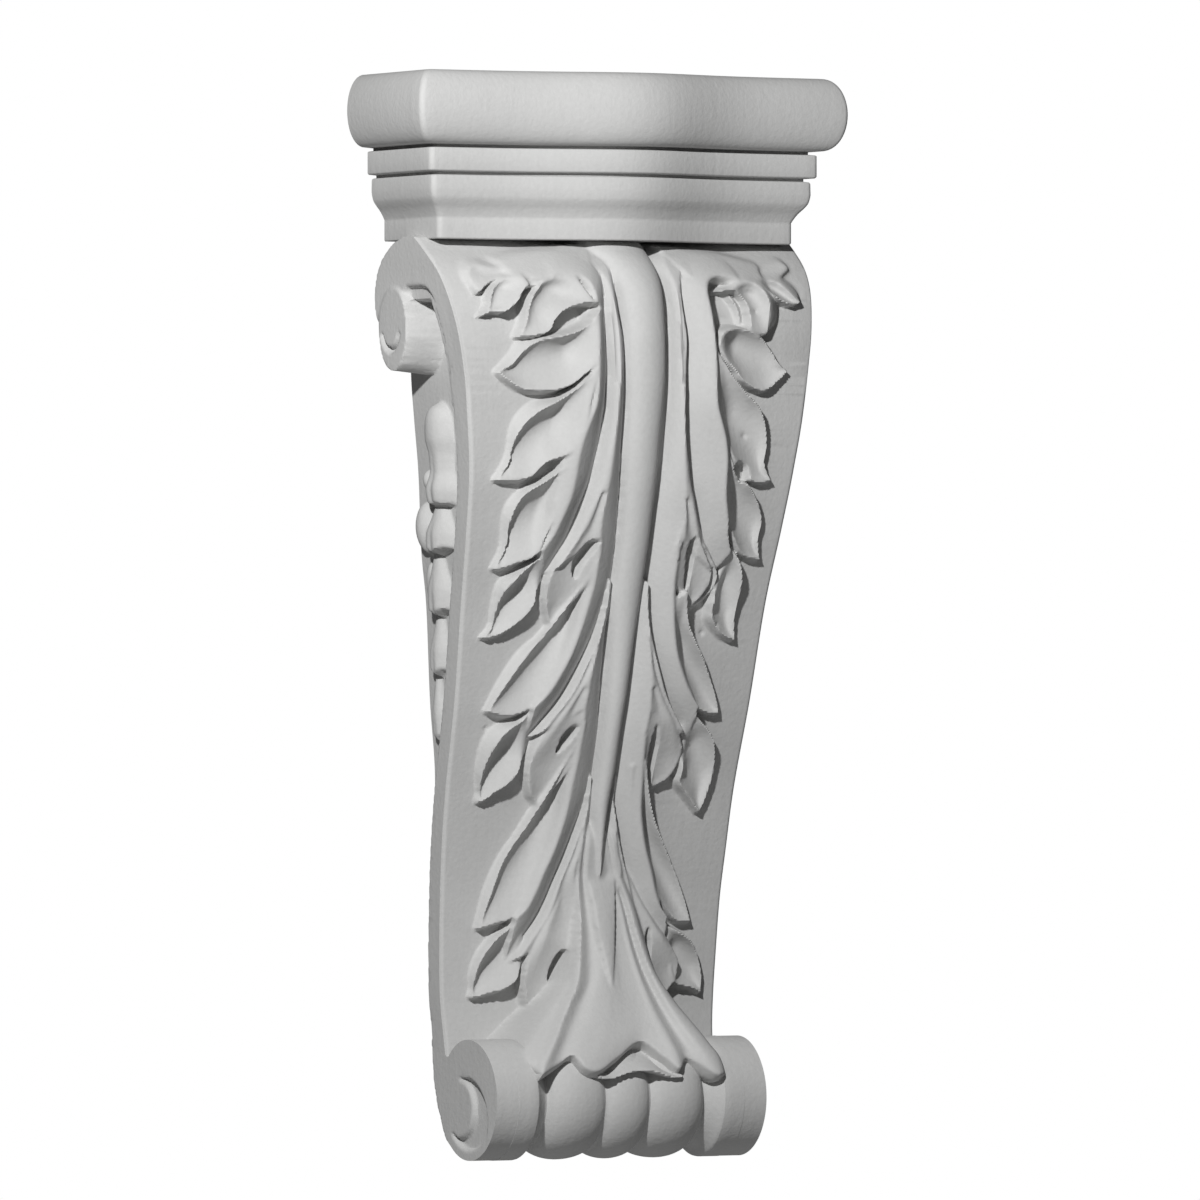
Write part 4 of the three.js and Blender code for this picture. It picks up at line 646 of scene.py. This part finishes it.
# bellflower drop
HUSKS = [[177.0, 153.2, 13.8, 5.7, 4.8], [154.5, 141.4, 12.4, 5.6, 4.4], [142.5, 127.0, 9.6, 4.8, 3.8], [128.4, 113.0, 7.6, 3.6, 3.0], [114.4, 97.6, 5.4, 2.5, 2.2]]
drop = np.zeros_like(half)
for i, (htop, hlip, dc, hb, rise) in enumerate(HUSKS):
    t = (htop - Z2) / (htop - hlip)
    if i == 0:
        prof, lean = pchip([0, 0.06, 0.2, 0.34, 0.52, 0.66, 0.86, 1], [0.2, 0.62, 0.86, 0.9, 0.78, 0.76, 1.0, 0.9])(t), 0.6 * (1 - t)
    else:
        prof, lean = pchip([0, 0.3, 0.66, 0.88, 1], [0.3, 0.62, 0.98, 1.0, 0.82])(t), 0
    q = (D2 - dc - lean) / (hb * prof)
    lobes = 1 - 0.13 * np.cos(q * 4.2) ** 4 * np.clip(t * 1.5 - 0.4, 0, 1)
    lip_cut = hlip + 1.6 * np.clip(np.abs(np.sin(q * 2.1)), 0, 1) * (i > 0)
    hgt = np.where((t > 0) & (Z2 > lip_cut) & (np.abs(q) < 1), rise * prof * np.sqrt(np.maximum(0, 1 - q * q)) * lobes, 0)
    drop = np.maximum(drop, hgt)
# the side petals that stand out behind the husks
for pd, ph, rd, rh, up in ((7.4, 159.0, 2.0, 2.8, 2.6), (5.6, 148.0, 3.4, 6.4, 3.8), (5.4, 134.0, 2.2, 6.0, 2.0)):
    e = 1 - ((D2 - pd) / rd) ** 2 - ((Z2 - ph) / rh) ** 2
    drop = np.maximum(drop, np.where(e > 0, up * np.sqrt(np.maximum(e, 0)), 0))
half = np.maximum(half, panel_w(Z2) + drop)
half = blur(half, 1.1)

SG = 0.5
gd, gz = np.arange(-0.9, 46.5, SG), np.arange(-1.9, 216.5, SG)
GD, GZ = np.meshgrid(gd, gz)
HW = sample(half, (GZ - sz[0]) / SS, (GD - sd[0]) / SS)
sides = slab("sides", to_row(-HW, GD, GZ), to_row(HW, GD, GZ))
decimate(sides, 60000)

face_line = [[0, 216.2], [19, 216.2]] + [[float(face_d(h)) - 0.7, float(h)] for h in np.arange(213.5, 24.2, -1.0)]
back_line = [[8.4, 5.4], [5.8, 8.2], [3.6, 11.4], [1.6, 14.6], [0, 17.5]]


def roll_arc(r):
    t = np.radians(np.arange(136, -129, -3))
    return [[ROLL["d"] + r * math.cos(x), ROLL["z"] + r * math.sin(x)] for x in t]


def slice_of(points, x0, x1):
    p = np.array(points)
    return loft("slice", [to_row(np.full(len(p), x0), p[:, 0], p[:, 1]), to_row(np.full(len(p), x1), p[:, 0], p[:, 1])])


ends = []
for x0, x1 in ((-60, -RAMP_OUT - 0.2), (RAMP_OUT + 0.2, 60)):
    part = sides.copy()
    part.data = sides.data.copy()
    bpy.context.scene.collection.objects.link(part)
    ends.append(boolean(part, slice_of([[0, 24.5], [8.0, 24.5]] + roll_arc(ROLL["r"] - 0.06) + back_line, x0, x1), "INTERSECT"))
body = boolean(sides, slice_of(face_line + roll_arc(9.4) + back_line, -60, 60), "INTERSECT")

# ---- the roll ------------------------------------------------------------------------------


def roll_radius(x):
    a = np.abs(x)
    t = np.clip((a - (ROLL["w"] - ROLL["bevel"])) / ROLL["bevel"], 0, 1)
    r = ROLL["r"] - ROLL["bevel"] * (1 - np.sqrt(1 - t * t))
    ramp = ROLL["r"] - DEEP_OUT * np.clip((RAMP_OUT - a) / (RAMP_OUT - FLUTE_OUT), 0, 1) ** 0.8
    c, hw = (FLUTE_OUT + FLUTE_IN) / 2, (FLUTE_OUT - FLUTE_IN) / 2
    q = np.clip((a - c) / hw, -1, 1)
    outer = ROLL["r"] - np.where(q > 0, DEEP_OUT, DEEP_IN) * (1 - np.sqrt(1 - q * q))
    inner = ROLL["r"] - DEEP_IN * (1 - np.sqrt(1 - np.clip(a / FLUTE_IN, 0, 1) ** 2))
    return np.where(a > RAMP_OUT, r, np.where(a > FLUTE_OUT, ramp, np.where(a > FLUTE_IN, outer, inner)))


rx = np.array([-30.0, -27.0] + np.arange(-25.2, 25.3, 0.4).tolist() + [27.0, 30.0])
rr = roll_radius(rx)
inner_part = (np.abs(rx) < 25.4)
rs = np.convolve(np.pad(rr, 1, mode="edge"), [0.25, 0.5, 0.25], "valid")
rr = np.where(inner_part, rs, rr)
ang = np.radians(np.arange(0, 360, 4))
rings = [to_row(np.full(len(ang), x), ROLL["d"] + r * np.cos(ang), ROLL["z"] + r * np.sin(ang)) for x, r in zip(rx, rr)]
roll = loft("roll", rings)

# ---- the cap --------------------------------------------------------------------------------


def cap_ring(inset, h):
    w, r = HALF_W - inset, 1.3
    n = 76

    def bowed(x):
        return CAP_CORNER - inset + CAP_BOW * np.exp(-x * x / (2 * CAP_SPREAD ** 2))

    q = np.linspace(-1, 1, n)
    x = (w - r) * (0.7 * q + 0.3 * q ** 3)
    t = np.radians(np.linspace(0, 90, 7))[:-1]
    dc = bowed(w - r) - r
    ax, ad = -(w - r) - r * np.cos(t), dc + r * np.sin(t)
    side_d = np.linspace(0, dc, 10)[:-1]
    xs_ = np.concatenate([np.full(9, -w), ax, x, -ax[::-1], np.full(9, w)])
    ds_ = np.concatenate([side_d, ad, bowed(x), ad[::-1], side_d[::-1]])
    return to_row(xs_, ds_, np.full(len(xs_), h))


prof = []
ogee = spline([[220.0, 9.85], [221.0, 9.35], [222.2, 8.6], [223.3, 7.7], [224.4, 6.95], [225.6, 6.6], [226.6, 6.45]], np.linspace(0, 1, 22)).tolist()
prof += [[CAP_BOTTOM, 10.1], [CAP_BOTTOM + 0.12, 9.93], [CAP_BOTTOM + 0.35, 9.85], [219.6, 9.85]] + ogee
prof += [[229.2, 6.5], [229.5, 6.62], [229.65, 6.8], [229.8, 7.7], [230.4, 7.7], [230.55, 5.75], [230.75, 5.5], [230.95, 5.4], [235.7, 5.4], [235.9, 5.5], [236.0, 5.75], [236.15, 6.9], [236.75, 6.9]]
mid, hh = (254 + TORUS_LOW) / 2, (254 - TORUS_LOW) / 2
for deg in np.arange(-90, 91, 7.5):
    t = math.radians(deg)
    prof.append([mid + hh * math.sin(t), TORUS_SAG * (1 - math.cos(t) ** 0.9 if abs(deg) < 89.9 else 1)])
cap = loft("cap", [cap_ring(i, h) for h, i in prof])

# ---- one casting ------------------------------------------------------------------------------
for part in ends:
    body = boolean(body, part, "UNION")
body = boolean(body, roll, "UNION")
body = boolean(body, front, "UNION")
body = boolean(body, cap, "UNION")
body.name = "corbel_casting"
body.data.name = "corbel_casting"


def largest_part(ob):
    me = ob.data
    n = len(me.vertices)
    e = np.empty(len(me.edges) * 2, np.int32)
    me.edges.foreach_get("vertices", e)
    e = e.reshape(-1, 2)
    lab = np.arange(n)
    while True:
        m = np.minimum(lab[e[:, 0]], lab[e[:, 1]])
        new = lab.copy()
        np.minimum.at(new, e[:, 0], m)
        np.minimum.at(new, e[:, 1], m)
        new = new[new]
        if (new == lab).all():
            break
        lab = new
    ids, counts = np.unique(lab, return_counts=True)
    if len(ids) > 1:
        import bmesh
        bm = bmesh.new()
        bm.from_mesh(me)
        bm.verts.ensure_lookup_table()
        gone = np.nonzero(lab != ids[np.argmax(counts)])[0]
        bmesh.ops.delete(bm, geom=[bm.verts[int(i)] for i in gone], context="VERTS")
        bm.to_mesh(me)
        bm.free()
    return len(ids)


parts = largest_part(body)
decimate(body, 196000)
low = -0.12699
co = np.empty(len(body.data.vertices) * 3)
body.data.vertices.foreach_get("co", co)
co = co.reshape(-1, 3)
co[:, 2] = np.maximum(co[:, 2], low)
co[:, 1] = np.minimum(co[:, 1], 0.0)
body.data.vertices.foreach_set("co", co.ravel())
body.data.calc_loop_triangles()
print("casting:", len(body.data.loop_triangles), "triangles; parts", parts)
body.data.shade_smooth()
body.data.set_sharp_from_angle(angle=math.radians(42))

# ---- finish -------------------------------------------------------------------------------------


def cast_material():
    m = bpy.data.materials.new("cast_body")
    m.use_nodes = True
    nt = m.node_tree
    nt.nodes.clear()
    out = nt.nodes.new("ShaderNodeOutputMaterial")
    sh = nt.nodes.new("ShaderNodeBsdfPrincipled")
    nt.links.new(sh.outputs["BSDF"], out.inputs["Surface"])
    sh.inputs["Roughness"].default_value = 0.72
    sh.inputs["Specular IOR Level"].default_value = 0.25
    tc = nt.nodes.new("ShaderNodeTexCoord")

    def noise(scale, detail, rough=0.5, stretch=None):
        n = nt.nodes.new("ShaderNodeTexNoise")
        n.inputs["Scale"].default_value = scale
        n.inputs["Detail"].default_value = detail
        n.inputs["Roughness"].default_value = rough
        src = tc.outputs["Object"]
        if stretch:
            mp = nt.nodes.new("ShaderNodeMapping")
            mp.inputs["Scale"].default_value = stretch
            nt.links.new(src, mp.inputs["Vector"])
            src = mp.outputs["Vector"]
        nt.links.new(src, n.inputs["Vector"])
        return n.outputs["Fac"]

    soft = noise(22, 4)
    fine = noise(900, 3, 0.6)
    brush = noise(420, 2, 0.55, (1.0, 1.0, 0.16))
    ramp = nt.nodes.new("ShaderNodeValToRGB")
    ramp.color_ramp.elements[0].position, ramp.color_ramp.elements[1].position = 0.3, 0.75
    ramp.color_ramp.elements[0].color = (0.475, 0.475, 0.47, 1)
    ramp.color_ramp.elements[1].color = (0.56, 0.56, 0.555, 1)
    mix = nt.nodes.new("ShaderNodeMath")
    mix.operation = "MULTIPLY_ADD"
    mix.inputs[1].default_value = 0.35
    nt.links.new(fine, mix.inputs[0])
    half_soft = nt.nodes.new("ShaderNodeMath")
    half_soft.operation = "MULTIPLY"
    half_soft.inputs[1].default_value = 0.65
    nt.links.new(soft, half_soft.inputs[0])
    nt.links.new(half_soft.outputs[0], mix.inputs[2])
    nt.links.new(mix.outputs[0], ramp.inputs["Fac"])
    nt.links.new(ramp.outputs["Color"], sh.inputs["Base Color"])

    def bump(height, distance, strength, before=None):
        b = nt.nodes.new("ShaderNodeBump")
        b.inputs["Distance"].default_value = distance
        b.inputs["Strength"].default_value = strength
        nt.links.new(height, b.inputs["Height"])
        if before is not None:
            nt.links.new(before.outputs["Normal"], b.inputs["Normal"])
        return b

    b1 = bump(fine, 0.00016, 0.6)
    b2 = bump(brush, 0.00014, 0.5, b1)
    nt.links.new(b2.outputs["Normal"], sh.inputs["Normal"])
    return m


body.data.materials.clear()
body.data.materials.append(cast_material())
for p in body.data.polygons:
    p.material_index = 0

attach(body, "root")
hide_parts("corbel")

# ---- stage: pale floor, soft light, camera at the picture's angle ------------------------------------
me = bpy.data.meshes.new("floor")
f, fz = 1.2, -0.62
me.from_pydata([(-f, -f, fz), (f, -f, fz), (f, f, fz), (-f, f, fz)], [], [(0, 1, 2, 3)])
floor = bpy.data.objects.new("floor", me)
bpy.context.scene.collection.objects.link(floor)
fm = bpy.data.materials.new("floor")
fm.use_nodes = True
fb = fm.node_tree.nodes["Principled BSDF"]
fb.inputs["Base Color"].default_value = (0.86, 0.86, 0.86, 1)
fb.inputs["Roughness"].default_value = 0.9
me.materials.append(fm)

world = bpy.data.worlds.new("studio")
bpy.context.scene.world = world
world.use_nodes = True
nt = world.node_tree
nt.nodes.clear()
wo = nt.nodes.new("ShaderNodeOutputWorld")
seen, fill, pick, lp = nt.nodes.new("ShaderNodeBackground"), nt.nodes.new("ShaderNodeBackground"), nt.nodes.new("ShaderNodeMixShader"), nt.nodes.new("ShaderNodeLightPath")
seen.inputs["Color"].default_value, seen.inputs["Strength"].default_value = (1, 1, 1, 1), 1.0
fill.inputs["Color"].default_value, fill.inputs["Strength"].default_value = (1, 1, 1, 1), 0.07
nt.links.new(lp.outputs["Is Camera Ray"], pick.inputs[0])
nt.links.new(fill.outputs[0], pick.inputs[1])
nt.links.new(seen.outputs[0], pick.inputs[2])
nt.links.new(pick.outputs[0], wo.inputs["Surface"])

key = bpy.data.lights.new("key", "POINT")
key.energy = 14.3
key.shadow_soft_size = 0.014
ko = bpy.data.objects.new("key", key)
bpy.context.scene.collection.objects.link(ko)
ko.location = (-0.345, -0.42, 0.262)

AZ, EL, DIST = math.radians(-28.6), math.radians(-0.3), 3.0
cam = bpy.data.cameras.new("camera")
cam.type = "PERSP"
cam.sensor_fit = "AUTO"
cam.sensor_width = 36
cam.lens = 36 / 0.2804 * (DIST - 0.031)
cam.clip_start, cam.clip_end = 0.1, 20
co = bpy.data.objects.new("camera", cam)
bpy.context.scene.collection.objects.link(co)
back_dir = Vector((math.sin(AZ) * math.cos(EL), -math.cos(AZ) * math.cos(EL), math.sin(EL)))
right_dir = Vector((math.cos(AZ), math.sin(AZ), 0))
target = right_dir * 0.0090 + Vector((0, 0, 0.1311 - 0.127))
co.location = target + back_dir * DIST
co.rotation_mode = "QUATERNION"
co.rotation_quaternion = (-back_dir).to_track_quat("-Z", "Y")
bpy.context.scene.camera = co

bpy.context.scene.view_settings.view_transform = "Standard"
